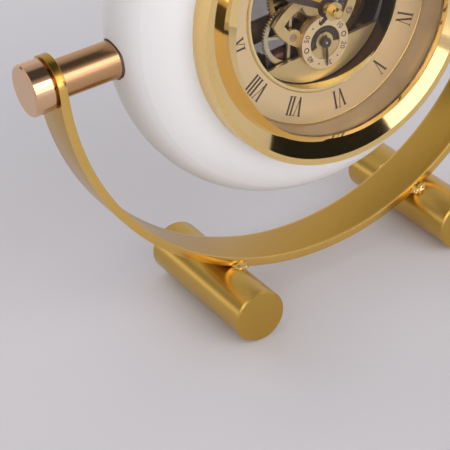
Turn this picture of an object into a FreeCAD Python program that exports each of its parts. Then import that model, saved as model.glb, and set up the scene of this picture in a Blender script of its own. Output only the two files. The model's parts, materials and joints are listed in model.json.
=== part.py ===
import FreeCAD, Part
import math
import os
import re

import Sketcher

# A round white desk clock that tilts between the two ends of a half ring of bent flat bar.
# Millimetres, +Z up, the dial faces -Y, and the origin is on the floor midway between the feet.

# Driving sizes: lengths in millimetres, angles in degrees, and counts.
SIZES = {
    # stand: a bent flat bar standing on two round bars
    "band_gap": 21.1,
    "band_thickness": 3.1,
    "band_width": 19.4,
    "pivot_rise": 4.4,
    "foot_radius": 10.0,
    "foot_length": 61.3,
    "foot_spread": 45.7,
    "foot_edge": 0.6,
    # pivots: stud, spacer, washer and thumb cap on each side
    "stud_radius": 3.0,
    "stud_depth": 14.0,
    "stud_end": 4.0,
    "pivot_clearance": 0.08,
    "cap_radius": 9.1,
    "cap_length": 7.0,
    "cap_edge": 0.5,
    "cap_neck_radius": 7.4,
    "cap_neck": 1.0,
    "cap_gap": 0.1,
    "spacer_radius": 6.7,
    "spacer_gap": 0.2,
    "washer_radius": 6.95,
    "washer_thickness": 0.8,
    "washer_seat": 1.4,
    "seat_margin": 0.3,
    # case: a thick turned ring with a fully rounded rim
    "case_radius": 73.6,
    "case_thickness": 42.2,
    "case_crown": 35.3,
    "case_rim": 17.5,
    "lean_angle": 1.75,
    "dial_angle": 4.0,
    # bezel and glass: a land, a slope down to a groove, and a collar round the glass
    "bezel_share": 0.7283,
    "bezel_seat": 4.6,
    "bezel_face": 10.25,
    "bezel_height": 8.7,
    "bezel_crown": 1.65,
    "bezel_land": 2.3,
    "groove_width": 2.4,
    "groove_depth": 2.2,
    "bezel_lip": 2.2,
    "spigot_gap": 0.2,
    "spigot_depth": 6.0,
    "stack_wall": 0.75,
    "stack_clearance": 0.1,
    "glass_thickness": 1.5,
    # dial: sloping wall, chapter ring and the wall of the well inside it
    "wall_slope": 0.4,
    "chapter_depth": 3.05,
    "chapter_thickness": 2.0,
    "trim_height": 0.35,
    "well_share": 0.6903,
    "well_wall": 0.85,
    "well_depth": 5.4,
    "well_foot": 0.6,
    # plates of the movement
    "plate_gap": 0.35,
    "plate_thickness": 1.6,
    "chord_share": 0.5973,
    "plate_space": 12.5,
    "bridge_lower_radius": 18.3,
    "bridge_lower_rise": 1.9,
    "bridge_upper_radius": 25.9,
    "bridge_upper_drop": 21.5,
    "bridge_border": 3.6,
    "boss_radius": 5.2,
    "lobe_radius": 3.0,
    "neck_width": 7.0,
    "pillar_radius": 1.5,
    "pillar_side_share": 0.4266,
    "pillar_height_share": 0.8532,
    "back_ring_half": 3.25,
    "back_bar": 11.0,
    "back_cross": 8.0,
    "back_boss_radius": 9.5,
    "dial_pillar_radius": 1.8,
    "dial_pillar_inset": 5.9,
    # seconds dial
    "seconds_drop": 15.0,
    "seconds_ring_outer": 9.7,
    "seconds_ring_inner": 6.1,
    "seconds_ring_height": 2.2,
    "slot_outer": 6.0,
    "slot_inner": 3.5,
    "slot_sweep": 210.0,
    "slot_depth": 1.2,
    # wheels
    "train_module": 0.4,
    "seconds_module": 0.36,
    "centre_teeth": 64,
    "third_pinion_teeth": 8,
    "third_teeth": 60,
    "seconds_pinion_teeth": 8,
    "cannon_teeth": 12,
    "minute_teeth": 36,
    "motion_pinion_teeth": 10,
    "hour_teeth": 40,
    "drive_teeth": 40,
    "setting_teeth": 12,
    "stud_angle": 2.4,
    "setting_angle": -69.3,
    "wheel_thickness": 0.9,
    "pinion_length": 1.7,
    "rim_width": 1.5,
    "spoke_width": 1.1,
    "spoke_count": 4,
    "hub_radius": 1.9,
    "arbor_radius": 0.7,
    "centre_arbor_radius": 0.8,
    "cannon_radius": 1.2,
    "pipe_radius": 1.9,
    "pivot_radius": 0.5,
    "running_clearance": 0.06,
    "post_radius": 0.75,
    "post_head": 1.3,
    "post_head_thickness": 0.4,
    # levels of the wheels behind the front plate
    "third_level": 0.85,
    "hour_level": 2.9,
    "minute_level": 5.8,
    "centre_level": 8.2,
    "drive_level": 10.2,
    # hands
    "hour_hand_level": 2.0,
    "minute_hand_level": 5.0,
    "hand_thickness": 0.5,
    "hour_hand_share": 0.86,
    "hour_hand_half": 1.5,
    "hour_hub": 3.5,
    "minute_hand_share": 0.8848,
    "minute_hand_half": 1.15,
    "minute_hub": 2.2,
    "hand_tail": 6.5,
    "collet_radius": 3.3,
    "collet_thickness": 0.7,
    "nut_radius": 1.95,
    "nut_height": 3.1,
    "nut_crown": 0.6,
    "seconds_hand_lift": 1.0,
    "seconds_hand_length": 8.4,
    "seconds_hand_half": 0.45,
    "seconds_hub": 1.9,
    "seconds_tail": 3.0,
    # quartz drive and cell
    "block_half": 10.3,
    "block_top": 20.0,
    "block_base": 27.2,
    "block_clearance": 2.4,
    "block_slot": 1.9,
    "shelf_reach": 10.8,
    "shelf_thickness": 1.7,
    "coil_radius": 2.6,
    "coil_length": 11.0,
    "cheek_thickness": 0.8,
    "cheek_half": 2.9,
    "core_radius": 1.0,
    "cell_radius": 5.25,
    "cell_length": 44.5,
    "cell_height": 15.5,
    "cell_nub_radius": 1.9,
    "cell_nub": 0.8,
    "holder_wall": 1.2,
    "holder_play": 0.3,
    "spring_length": 3.0,
    "spring_radius": 3.2,
    "contact_thickness": 0.5,
    "contact_half": 4.0,
    # back
    "back_ring_height": 3.0,
    "back_spigot": 3.2,
    "cover_step": 7.0,
    "cover_overlap": 2.4,
    "cover_seat_gap": 0.1,
    "cover_thickness": 1.5,
    "knob_radius": 6.0,
    "knob_height": 9.0,
    "knob_gap": 1.25,
    "knob_edge": 0.8,
    "knob_flute": 0.7,
    "knob_flutes": 8,
    # one overrun serves every cut
    "overrun": 2.0,
}

# Shares of a module that shape the teeth.
TIP_SHARE = 0.75
ROOT_SHARE = 1.1
SLIM_SHARE = 0.075
SINK_SHARE = 0.15
PRESSURE_ANGLE = 20.0

# Shares of a hand's half width at its tail, hub and tip, of its length out to its shoulder, and
# of the common tail on the hour hand.
TAIL_SHARE = 0.45
HUB_SHARE = 0.6
POINT_SHARE = 0.12
SHOULDER_SHARE = 0.62
HOUR_TAIL_SHARE = 0.6

HALF_TURN = 180.0
FULL_TURN = 360.0

# Angles of the hands at rest, clockwise from twelve: the clock shows ten past ten.
HOUR_TURN = 305.3
MINUTE_TURN = 63.1
SECONDS_TURN = 187.0

# Lengths and places worked out from the driving sizes. Depths run back along the dial's axis
# from the seat of the bezel on the case.
DERIVED = {
    "band_inner": "case_radius + band_gap",
    "band_radius": "band_inner + band_thickness",
    "band_centre": "foot_radius + sqrt((band_radius + foot_radius)^2 - foot_spread^2)",
    "pivot_height": "band_centre + pivot_rise",
    "seat_front": "case_thickness / 2",
    "seat_back": "case_thickness",
    "bezel_radius": "case_radius * bezel_share",
    "bore_radius": "bezel_radius - bezel_seat",
    "shoulder_foot": "bezel_radius + seat_margin",
    "rim_centre": "case_radius - case_rim",
    "seat_offset": "rim_centre - shoulder_foot",
    "seat_reach": "sqrt(seat_offset^2 + seat_front^2)",
    "crown_excess": "case_crown - case_rim",
    "crown_along": "(case_crown^2 - crown_excess^2 + seat_reach^2) / (2 * seat_reach)",
    "crown_across": "sqrt(case_crown^2 - crown_along^2)",
    "crown_centre": "shoulder_foot + (crown_along * seat_offset - crown_across * seat_front) / seat_reach",
    "crown_drop": "(crown_along * seat_front + crown_across * seat_offset) / seat_reach - seat_front",
    "rim_meet_radius": "rim_centre + case_rim * (rim_centre - crown_centre) / crown_excess",
    "rim_meet_height": "case_rim * crown_drop / crown_excess",
    "shoulder_middle": "(shoulder_foot + rim_meet_radius) / 2",
    "shoulder_height": "sqrt(case_crown^2 - (shoulder_middle - crown_centre)^2) - crown_drop",
    "washer_foot": "case_radius - washer_seat",
    "spacer_foot": "washer_foot + washer_thickness",
    "spacer_end": "band_inner - spacer_gap",
    "cap_foot": "band_radius + cap_gap",
    "stud_foot": "case_radius - stud_depth",
    "stud_tip": "cap_foot + stud_end",
    "stud_bore": "stud_radius + pivot_clearance",
    "bezel_inner": "bezel_radius - bezel_face",
    "glass_front": "bezel_lip - bezel_height - bezel_crown",
    "glass_back": "glass_front + glass_thickness",
    "spigot_radius": "bore_radius - spigot_gap",
    "stack_radius": "bezel_inner + stack_wall",
    "spigot_bore": "stack_radius + stack_clearance",
    "wall_foot": "bezel_inner - wall_slope",
    "chapter_back": "chapter_depth + chapter_thickness",
    "trim_top": "chapter_depth - trim_height",
    "well_radius": "wall_foot * well_share",
    "well_outer": "well_radius + well_wall",
    "plate_radius": "well_radius - plate_gap",
    "plate_chord": "plate_radius * chord_share",
    "pillar_side": "plate_radius * pillar_side_share",
    "pillar_height": "plate_radius * pillar_height_share",
    "dial_pillar_circle": "well_outer + dial_pillar_inset",
    "back_ring_inner": "dial_pillar_circle - back_ring_half",
    "back_ring_outer": "dial_pillar_circle + back_ring_half",
    "plate_front": "chapter_depth + well_depth",
    "plate_back": "plate_front + plate_thickness",
    "back_plate_front": "plate_back + plate_space",
    "back_plate_back": "back_plate_front + plate_thickness",
    "centre_to_third": "train_module * (centre_teeth + third_pinion_teeth) / 2",
    "third_to_seconds": "seconds_module * (third_teeth + seconds_pinion_teeth) / 2",
    "motion_distance": "train_module * (cannon_teeth + minute_teeth) / 2",
    "hour_module": "motion_distance * 2 / (motion_pinion_teeth + hour_teeth)",
    "third_drop": "(centre_to_third^2 - third_to_seconds^2 + seconds_drop^2) / (2 * seconds_drop)",
    "third_side": "sqrt(centre_to_third^2 - third_drop^2)",
    "post_x": "motion_distance * cos(stud_angle)",
    "post_z": "motion_distance * sin(stud_angle)",
    "setting_x": "post_x + motion_distance * cos(setting_angle)",
    "setting_z": "post_z + motion_distance * sin(setting_angle)",
    "third_depth": "plate_back + third_level",
    "hour_depth": "plate_back + hour_level",
    "minute_depth": "plate_back + minute_level",
    "centre_depth": "plate_back + centre_level",
    "drive_depth": "plate_back + drive_level",
    "hour_hand_length": "well_radius * hour_hand_share",
    "minute_hand_length": "wall_foot * minute_hand_share",
    "hour_hand_depth": "chapter_depth - hour_hand_level",
    "minute_hand_depth": "chapter_depth - minute_hand_level",
    "seconds_ring_depth": "plate_front - seconds_ring_height",
    "seconds_hand_depth": "seconds_ring_depth - seconds_hand_lift",
    "pivot_bore": "pivot_radius + running_clearance",
    "cannon_bore": "cannon_radius + running_clearance",
    "pipe_bore": "pipe_radius + running_clearance",
    "post_bore": "post_radius + running_clearance",
    "block_front": "plate_back + block_clearance",
    "coil_centre_z": "cheek_half - block_top",
    "coil_depth": "block_front + cheek_half",
    "holder_half": "cell_length / 2 + holder_play + (spring_length + contact_thickness) / 2 + holder_wall",
    "holder_depth": "(cell_radius + holder_play) * 2 + holder_wall",
    "cell_depth": "back_plate_back + holder_wall + holder_play + cell_radius",
    "cell_shift": "(spring_length - cell_nub) / 2",
    "cover_radius": "bezel_radius - cover_step",
    "back_ring_lip": "cover_radius - cover_overlap",
    "cover_front": "seat_back - cover_thickness",
    "cover_bore": "cover_radius + cover_seat_gap",
    "knob_foot": "seat_back + back_ring_height / 2 + knob_gap",
}

WORD = re.compile(r"[a-z][a-z_]*[a-z]")


def spelled(text):
    """An expression in driving sizes alone, with every worked-out name replaced by its formula."""
    def one(match):
        word = match.group()
        if word in DERIVED:
            return "(" + spelled(DERIVED[word]) + ")"
        return "Sizes." + word if word in SIZES else word

    return WORD.sub(one, text)


doc = FreeCAD.newDocument("MoonDeskClock")
sheet = doc.addObject("Spreadsheet::Sheet", "Sizes")
for row, (name, value) in enumerate(SIZES.items(), 1):
    sheet.set(f"A{row}", name)
    sheet.set(f"B{row}", str(value))
    sheet.setAlias(f"B{row}", name)
doc.recompute()

NODES = []


def value(text):
    """The number that an expression gives with the sheet's present sizes."""
    return float(sheet.evalExpression(spelled(text).replace("Sizes.", "")))


def bind(thing, **formulas):
    """Tie properties of an object to expressions; two underscores stand for a dot."""
    for name, text in formulas.items():
        thing.setExpression(name.replace("__", "."), spelled(text))


def node(name, thing, place):
    """Give a finished sub-part its name and its place, and put it on the list to be written."""
    thing.Label = name
    if place:
        thing.setExpression("Placement", spelled(place))
    NODES.append(thing)
    return thing


# Places, as expressions
def shift(x="0", y="0", z="0"):
    return f"create(<<placement>>; create(<<vector>>; {x}; {y}; {z}); create(<<rotation>>; 0; 0; 0))"


def turn(axis, angle):
    x, y, z = axis
    return (
        "create(<<placement>>; create(<<vector>>; 0; 0; 0); "
        f"create(<<rotation>>; create(<<vector>>; {x}; {y}; {z}); {angle}))"
    )


ALONG_X, ALONG_Y, ALONG_Z = (1, 0, 0), (0, 1, 0), (0, 0, 1)
HEAD = shift(z="pivot_height") + " * " + turn(ALONG_X, "0 - lean_angle")
DIAL = HEAD + " * " + shift(y="0 - seat_front") + " * " + turn(ALONG_Y, "0 - dial_angle")
RIGHT = HEAD + " * " + turn(ALONG_Z, "-90")
LEFT = HEAD + " * " + turn(ALONG_Z, "90")


def at(x="0", depth="0", z="0", angle=0.0):
    """A place on the dial: x to the right, depth inwards, z up, turned counter-clockwise."""
    return f"{DIAL} * {shift(x, depth, z)} * {turn(ALONG_Y, f'{-angle:.6f}')}"


# Sketches and the features made from them
def new_body(name):
    return doc.addObject("PartDesign::Body", name)


def new_sketch(body, role, depth=None):
    """A sketch on one of the body's own planes, moved along the plane's normal by depth."""
    plane = next(o for o in body.Origin.OriginFeatures if o.Role == role)
    sketch = body.newObject("Sketcher::SketchObject", f"{body.Name}_{role[:2]}")
    sketch.AttachmentSupport = [(plane, "")]
    sketch.MapMode = "FlatFace"
    if depth:
        bind(sketch, AttachmentOffset__Base__z=depth)
    return sketch


def pin_point(sketch, edge, end, x, y):
    """Hold a point of the sketch at the two given expressions."""
    across = sketch.addConstraint(Sketcher.Constraint("DistanceX", -1, 1, edge, end, value(x)))
    sketch.setExpression(f"Constraints[{across}]", spelled(x))
    up = sketch.addConstraint(Sketcher.Constraint("DistanceY", -1, 1, edge, end, value(y)))
    sketch.setExpression(f"Constraints[{up}]", spelled(y))


def draw_outline(sketch, points):
    """A closed outline. A point is (x, y); (x, y, mid_x, mid_y) also bends the edge after it."""
    spots = [FreeCAD.Vector(value(p[0]), value(p[1]), 0) for p in points]
    first = sketch.GeometryCount
    for index, point in enumerate(points):
        begin, finish = spots[index], spots[(index + 1) % len(points)]
        if len(point) == 4:
            middle = FreeCAD.Vector(value(point[2]), value(point[3]), 0)
            arc = Part.Arc(begin, middle, finish)
            sketch.addGeometry(arc, False)
        else:
            sketch.addGeometry(Part.LineSegment(begin, finish), False)
    count = len(points)
    for index, point in enumerate(points):
        edge = first + index
        pin_point(sketch, edge, start_of(sketch, edge, spots[index]), point[0], point[1])
    for index in range(count):
        edge, after = first + index, first + (index + 1) % count
        corner = spots[(index + 1) % count]
        join = Sketcher.Constraint(
            "Coincident", edge, start_of(sketch, edge, corner), after, start_of(sketch, after, corner)
        )
        sketch.addConstraint(join)
    for index, point in enumerate(points):
        if len(point) == 4:
            middle = FreeCAD.Vector(value(point[2]), value(point[3]), 0)
            mark = sketch.addGeometry(Part.Point(middle), True)
            pin_point(sketch, mark, 1, point[2], point[3])
            sketch.addConstraint(Sketcher.Constraint("PointOnObject", mark, 1, first + index))


def start_of(sketch, edge, spot):
    """1 or 2: which end of an edge lies at the spot, because arcs are kept counter-clockwise."""
    to_first, to_second = (sketch.getPoint(edge, end).distanceToPoint(spot) for end in (1, 2))
    return 1 if to_first <= to_second else 2


def draw_circle(sketch, radius, x="0", y="0"):
    middle = FreeCAD.Vector(value(x), value(y), 0)
    edge = sketch.addGeometry(Part.Circle(middle, FreeCAD.Vector(0, 0, 1), value(radius)), False)
    pin_point(sketch, edge, 3, x, y)
    size = sketch.addConstraint(Sketcher.Constraint("Radius", edge, value(radius)))
    sketch.setExpression(f"Constraints[{size}]", spelled(radius))


def pad(body, sketch, length, backwards=True, both_ways=False):
    """Grow a sketch into a solid; backwards is away from the plane's normal, so +Y on XZ."""
    feature = body.newObject("PartDesign::Pad", sketch.Name + "_pad")
    feature.Profile = sketch
    bind(feature, Length=length)
    feature.Reversed = backwards
    if both_ways:
        feature.SideType = "Symmetric"
    return feature


def pocket(body, sketch, length, backwards=False, both_ways=False):
    feature = body.newObject("PartDesign::Pocket", sketch.Name + "_cut")
    feature.Profile = sketch
    bind(feature, Length=length)
    feature.Reversed = backwards
    if both_ways:
        feature.SideType = "Symmetric"
    return feature


def repeat(body, feature, sketch, count):
    """Copies of a feature evenly round the normal of its sketch."""
    pattern = body.newObject("PartDesign::PolarPattern", feature.Name + "_ring")
    pattern.Originals = [feature]
    pattern.Axis = (sketch, ["N_Axis"])
    pattern.Angle = FULL_TURN
    bind(pattern, Occurrences=count)
    body.Tip = pattern
    return pattern


def turned(name, points, place=None):
    """A piece turned on a lathe: an outline of (radius, depth) points spun about the Y axis."""
    body = new_body(name)
    sketch = new_sketch(body, "XY_Plane")
    draw_outline(sketch, points)
    spin = body.newObject("PartDesign::Revolution", name + "_spin")
    spin.Profile = sketch
    spin.ReferenceAxis = (sketch, ["V_Axis"])
    spin.Angle = FULL_TURN
    body.Tip = spin
    return node(name, body, place) if place else body


def tube(inner, outer, front, back):
    return [(inner, front), (outer, front), (outer, back), (inner, back)]


# Part primitives, in a piece's own frame
def bar_y(name, radius, front, length, x="0", z="0", angle=None):
    """A round bar along the depth axis, from front over length, or a sector of one."""
    bar = doc.addObject("Part::Cylinder", name)
    bind(bar, Radius=radius, Height=length)
    if angle:
        bind(bar, Angle=angle)
    spot = shift(x, front, z) + " * " + turn(ALONG_X, "-90")
    bar.setExpression("Placement", spelled(spot))
    return bar


def bar_x(name, radius, start, length, y="0", z="0"):
    bar = doc.addObject("Part::Cylinder", name)
    bind(bar, Radius=radius, Height=length)
    spot = shift(start, y, z) + " * " + turn(ALONG_Y, "90")
    bar.setExpression("Placement", spelled(spot))
    return bar


def block(name, x, y, z, across, deep, high):
    box = doc.addObject("Part::Box", name)
    bind(box, Length=across, Width=deep, Height=high)
    box.setExpression("Placement", spelled(shift(x, y, z)))
    return box


def fused(name, things):
    whole = doc.addObject("Part::MultiFuse", name)
    whole.Shapes = things
    whole.Refine = True
    return whole


def shared(name, things):
    whole = doc.addObject("Part::MultiCommon", name)
    whole.Shapes = things
    whole.Refine = True
    return whole


def cut(name, base, tool):
    whole = doc.addObject("Part::Cut", name)
    whole.Base = base
    whole.Tool = tool
    whole.Refine = True
    return whole


def group(name, things):
    whole = doc.addObject("Part::Compound", name)
    whole.Links = things
    return whole


# Stand
def make_band():
    """The half ring: flat bar bent to an arc, with straight tongues rounded about the pivots."""
    body = new_body("Band")
    front = new_sketch(body, "XZ_Plane")
    top = "pivot_rise + band_width / 2"
    draw_outline(front, [
        ("0 - band_radius", "0", "0", "0 - band_radius"),
        ("band_radius", "0"),
        ("band_radius", top),
        ("band_inner", top),
        ("band_inner", "0", "0", "0 - band_inner"),
        ("0 - band_inner", "0"),
        ("0 - band_inner", top),
        ("0 - band_radius", top),
    ])
    pad(body, front, "band_width", both_ways=True)
    doc.recompute()
    side = new_sketch(body, "YZ_Plane")
    half = "band_width / 2"
    draw_outline(side, [
        (f"0 - {half}", "pivot_rise", "0", top),
        (half, "pivot_rise"),
        (f"{half} + overrun", "pivot_rise"),
        (f"{half} + overrun", f"{top} + overrun"),
        (f"0 - {half} - overrun", f"{top} + overrun"),
        (f"0 - {half} - overrun", "pivot_rise"),
    ])
    ends = pocket(body, side, "(band_radius + overrun) * 2", both_ways=True)
    doc.recompute()
    hole = new_sketch(body, "YZ_Plane")
    draw_circle(hole, "stud_bore", y="pivot_rise")
    through = pocket(body, hole, "(band_radius + overrun) * 2", both_ways=True)
    body.Tip = through
    return node("stand_band", body, shift(z="band_centre"))


def make_foot(name, side):
    rod = turned(name.title().replace("_", ""), [
        ("0", "0"),
        ("foot_radius - foot_edge", "0"),
        ("foot_radius", "foot_edge"),
        ("foot_radius", "foot_length - foot_edge"),
        ("foot_radius - foot_edge", "foot_length"),
        ("0", "foot_length"),
    ])
    return node(name, rod, shift(f"{side} * foot_spread", "0 - foot_length / 2", "foot_radius"))


# Case and pivots
def make_case():
    """The white ring. Two tangent arcs round each side; flats seat the bezel and the back ring."""
    blank = turned("CaseBlank", [
        ("bore_radius", "0 - seat_front"),
        ("shoulder_foot", "0 - seat_front",
         "shoulder_middle", "0 - shoulder_height"),
        ("rim_meet_radius", "0 - rim_meet_height", "case_radius", "0"),
        ("rim_meet_radius", "rim_meet_height",
         "shoulder_middle", "shoulder_height"),
        ("shoulder_foot", "seat_front"),
        ("bore_radius", "seat_front"),
    ])
    tools = []
    for start in ("washer_foot", "0 - washer_foot - washer_seat - overrun"):
        tools.append(bar_x("WasherSeat", "washer_radius + seat_margin", start, "washer_seat + overrun"))
    for start in ("stud_foot", "0 - case_radius"):
        tools.append(bar_x("StudHole", "stud_radius", start, "stud_depth"))
    return node("case_ring", cut("CaseRing", blank, fused("CaseCuts", tools)), HEAD)


def make_pivots():
    """Spacers, dark washers and studs, all carried by the case, and the two thumb caps."""
    spacers = []
    washers = []
    studs = []
    for angle in ("90", "-90"):
        spacer = turned("Spacer", tube("stud_bore", "spacer_radius", "spacer_foot", "spacer_end"))
        spacer.setExpression("Placement", turn(ALONG_Z, angle))
        spacers.append(spacer)
        washer = turned("Washer", tube("stud_bore", "washer_radius", "washer_foot", "spacer_foot"))
        washer.setExpression("Placement", turn(ALONG_Z, angle))
        washers.append(washer)
        stud = turned("Stud", [
            ("0", "stud_foot"),
            ("stud_radius", "stud_foot"),
            ("stud_radius", "stud_tip"),
            ("0", "stud_tip"),
        ])
        stud.setExpression("Placement", turn(ALONG_Z, angle))
        studs.append(stud)
    node("spacers", group("Spacers", spacers), HEAD)
    node("spacer_washers", group("Washers", washers), HEAD)
    node("pivot_studs", group("Studs", studs), HEAD)
    face = "cap_foot + cap_neck + cap_length"
    for name, place in (("cap_left", LEFT), ("cap_right", RIGHT)):
        turned(name, [
            ("0", "stud_tip + cap_gap"),
            ("stud_bore", "stud_tip + cap_gap"),
            ("stud_bore", "cap_foot"),
            ("cap_neck_radius", "cap_foot"),
            ("cap_neck_radius", "cap_foot + cap_neck"),
            ("cap_radius", "cap_foot + cap_neck"),
            ("cap_radius", f"{face} - cap_edge"),
            ("cap_radius - cap_edge", face),
            ("0", face),
        ], place)


# Bezel, glass and dial
def make_front():
    rim = "0 - bezel_height"
    top = "0 - bezel_height - bezel_crown"
    turned("bezel", [
        ("spigot_radius", "0"),
        ("bezel_radius", "0"),
        ("bezel_radius", rim),
        ("bezel_radius - bezel_land", rim),
        ("bezel_inner + groove_width", f"{rim} + groove_depth"),
        ("bezel_inner", top),
        ("bezel_inner", "glass_front"),
        ("spigot_bore", "glass_front"),
        ("spigot_bore", "spigot_depth"),
        ("spigot_radius", "spigot_depth"),
    ], at())
    turned("glass", [
        ("0", "glass_front"),
        ("spigot_bore", "glass_front"),
        ("spigot_bore", "glass_back"),
        ("0", "glass_back"),
    ], at())
    turned("dial_wall", [
        ("bezel_inner", "glass_back"),
        ("stack_radius", "glass_back"),
        ("stack_radius", "chapter_depth"),
        ("wall_foot", "chapter_depth"),
    ], at())
    turned("chapter_ring", tube("well_outer", "stack_radius", "chapter_depth", "chapter_back"), at())
    turned("well_ring", tube("well_radius", "well_outer", "trim_top", "plate_front + well_foot"), at())


# Plates of the movement
def bridge_parts(tag, front, thickness, border="0"):
    """The two round bars whose overlap has the outline of the bridge, inset by border."""
    lower = bar_y("Lower" + tag, f"bridge_lower_radius - {border}", front, thickness,
                  z="bridge_lower_rise")
    upper = bar_y("Upper" + tag, f"bridge_upper_radius - {border}", front, thickness,
                  z="0 - bridge_upper_drop")
    return shared("Bridge" + tag, [lower, upper])


def plate_hole(name, radius, x="0", z="0", front="plate_front"):
    return bar_y(name, radius, f"{front} - overrun", "plate_thickness + overrun * 2", x, z)


def make_front_plate():
    """The skeleton plate: two segments of a disc, a curved bridge between and a neck above it."""
    front, deep = "plate_front", "plate_thickness"
    disc = bar_y("PlateDisc", "plate_radius", front, deep)
    gap = block("PlateGap", "0 - plate_radius - overrun", f"{front} - overrun", "0 - plate_chord",
                "(plate_radius + overrun) * 2", f"{deep} + overrun * 2", "plate_chord * 2")
    segments = cut("PlateSegments", disc, gap)
    outer = bridge_parts("Outer", front, deep)
    inner = bridge_parts("Inner", f"{front} - overrun", f"{deep} + overrun * 2", "bridge_border")
    keep = fused("PlateKeep", [
        bar_y("BossKeep", "boss_radius", f"{front} - overrun * 2", f"{deep} + overrun * 4"),
        bar_y("SecondsKeep", "seconds_ring_outer", f"{front} - overrun * 2",
              f"{deep} + overrun * 4", z="0 - seconds_drop"),
        bar_y("LobeKeep", "lobe_radius", f"{front} - overrun * 2", f"{deep} + overrun * 4",
              "0 - third_side", "0 - third_drop"),
        block("NeckKeep", "0 - neck_width / 2", f"{front} - overrun * 2", "0",
              "neck_width", f"{deep} + overrun * 4", "plate_chord"),
    ])
    windows = cut("PlateWindows", inner, keep)
    frame = cut("PlateBridge", outer, windows)
    body = fused("PlateWhole", [
        segments,
        frame,
        bar_y("PlateBoss", "boss_radius", front, deep),
        bar_y("PlateSeconds", "seconds_ring_outer", front, deep, z="0 - seconds_drop"),
        block("PlateNeck", "0 - neck_width / 2", front, "0", "neck_width", deep,
              "plate_chord + overrun"),
    ])
    # the dial's C-shaped groove stops short of the plate's back
    sector = bar_y("SlotOuter", "slot_outer", f"{front} - overrun", "overrun + slot_depth",
                   z="0 - seconds_drop", angle="slot_sweep")
    spot = (shift("0", f"{front} - overrun", "0 - seconds_drop") + " * "
            + turn(ALONG_Y, "0 - (90 + slot_sweep / 2)") + " * " + turn(ALONG_X, "-90"))
    sector.setExpression("Placement", spelled(spot))
    slot = cut("SecondsSlot", sector, bar_y("SlotInner", "slot_inner", f"{front} - overrun * 2",
                                            f"{deep} + overrun * 4", z="0 - seconds_drop"))
    holes = fused("PlateHoles", [
        slot,
        plate_hole("PipeHole", "pipe_bore"),
        plate_hole("SecondsHole", "pivot_bore", z="0 - seconds_drop"),
        plate_hole("ThirdHole", "pivot_bore", "0 - third_side", "0 - third_drop"),
        plate_hole("SettingHole", "pivot_bore", "setting_x", "setting_z"),
    ])
    return node("front_plate", cut("FrontPlate", body, holes), at())


def make_back_plate():
    """A ring with a cross of bars and a boss in the middle, which carry the back pivots."""
    front, deep = "back_plate_front", "plate_thickness"
    ring = cut("BackRing", bar_y("BackDisc", "back_ring_outer", front, deep),
               bar_y("BackHole", "back_ring_inner", f"{front} - overrun", f"{deep} + overrun * 2"))
    middle = "(back_ring_inner + back_ring_outer) / 2"
    upright = block("BackUpright", "0 - back_bar / 2", front, f"0 - {middle}", "back_bar", deep,
                    f"{middle} * 2")
    level = "0 - third_drop - back_cross / 2"
    across = block("BackAcross", f"0 - {middle}", front, level, f"{middle} * 2", deep, "back_cross")
    pads = []
    for side in (-1, 1):
        for height in (-1, 1):
            pads.append(block("BackPad", f"{side} * pillar_side - lobe_radius", front,
                              f"{height} * (pillar_height + lobe_radius) - lobe_radius * 2",
                              "lobe_radius * 2", deep, "lobe_radius * 4"))
    boss = bar_y("BackBoss", "back_boss_radius", front, deep)
    body = fused("BackWhole", [ring, upright, across, boss] + pads)
    holes = fused("BackHoles", [
        plate_hole("BackCentre", "pivot_bore", front=front),
        plate_hole("BackSeconds", "pivot_bore", z="0 - seconds_drop", front=front),
        plate_hole("BackThird", "pivot_bore", "0 - third_side", "0 - third_drop", front=front),
        plate_hole("BackSetting", "pivot_bore", "setting_x", "setting_z", front=front),
    ])
    return node("back_plate", cut("BackPlate", body, holes), at())


def corners(side, height):
    return [(f"{a} * {side}", f"{b} * {height}") for a in (-1, 1) for b in (-1, 1)]


def make_pillars():
    posts = [bar_y("Pillar", "pillar_radius", "plate_back", "plate_space", x, z)
             for x, z in corners("pillar_side", "pillar_height")]
    node("plate_pillars", group("PlatePillars", posts), at())
    span = "back_plate_front - chapter_back"
    diagonal = "dial_pillar_circle / sqrt(2)"
    posts = [bar_y("DialPillar", "dial_pillar_radius", "chapter_back", span, x, z)
             for x, z in corners(diagonal, diagonal)]
    node("dial_pillars", group("DialPillars", posts), at())


def make_seconds_dial():
    ring = turned("seconds_dial", tube("seconds_ring_inner", "seconds_ring_outer",
                                       "0", "seconds_ring_height"),
                  at("0", "seconds_ring_depth", "0 - seconds_drop"))
    return ring


# Wheels
def involute(angle):
    return math.tan(angle) - angle


def tooth_shares(teeth):
    """Half widths of a tooth at its base and tip, in modules, thinned for easy running."""
    base = teeth / 2 * math.cos(math.radians(PRESSURE_ANGLE))
    halves = []
    for radius in (teeth / 2 - ROOT_SHARE, teeth / 2 + TIP_SHARE):
        lean = math.acos(min(1.0, base / radius))
        angle = math.pi / (2 * teeth) + involute(math.radians(PRESSURE_ANGLE)) - involute(lean)
        halves.append(radius * math.sin(angle) - SLIM_SHARE)
    return halves


def add_teeth(body, teeth, module, depth, length):
    """A ring of teeth round the Y axis, the first at the top, each sunk a little in its core."""
    low, high = tooth_shares(SIZES[teeth])
    root = f"{module} * ({teeth} / 2 - {ROOT_SHARE})"
    tip = f"{module} * ({teeth} / 2 + {TIP_SHARE})"
    sketch = new_sketch(body, "XZ_Plane", f"0 - ({depth})")
    base = f"{root} - {module} * {SINK_SHARE}"
    draw_outline(sketch, [
        (f"0 - {module} * {low:.5f}", base),
        (f"{module} * {low:.5f}", base),
        (f"{module} * {high:.5f}", tip),
        (f"0 - {module} * {high:.5f}", tip),
    ])
    tooth = pad(body, sketch, length)
    doc.recompute()
    return repeat(body, tooth, sketch, teeth)


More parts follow.
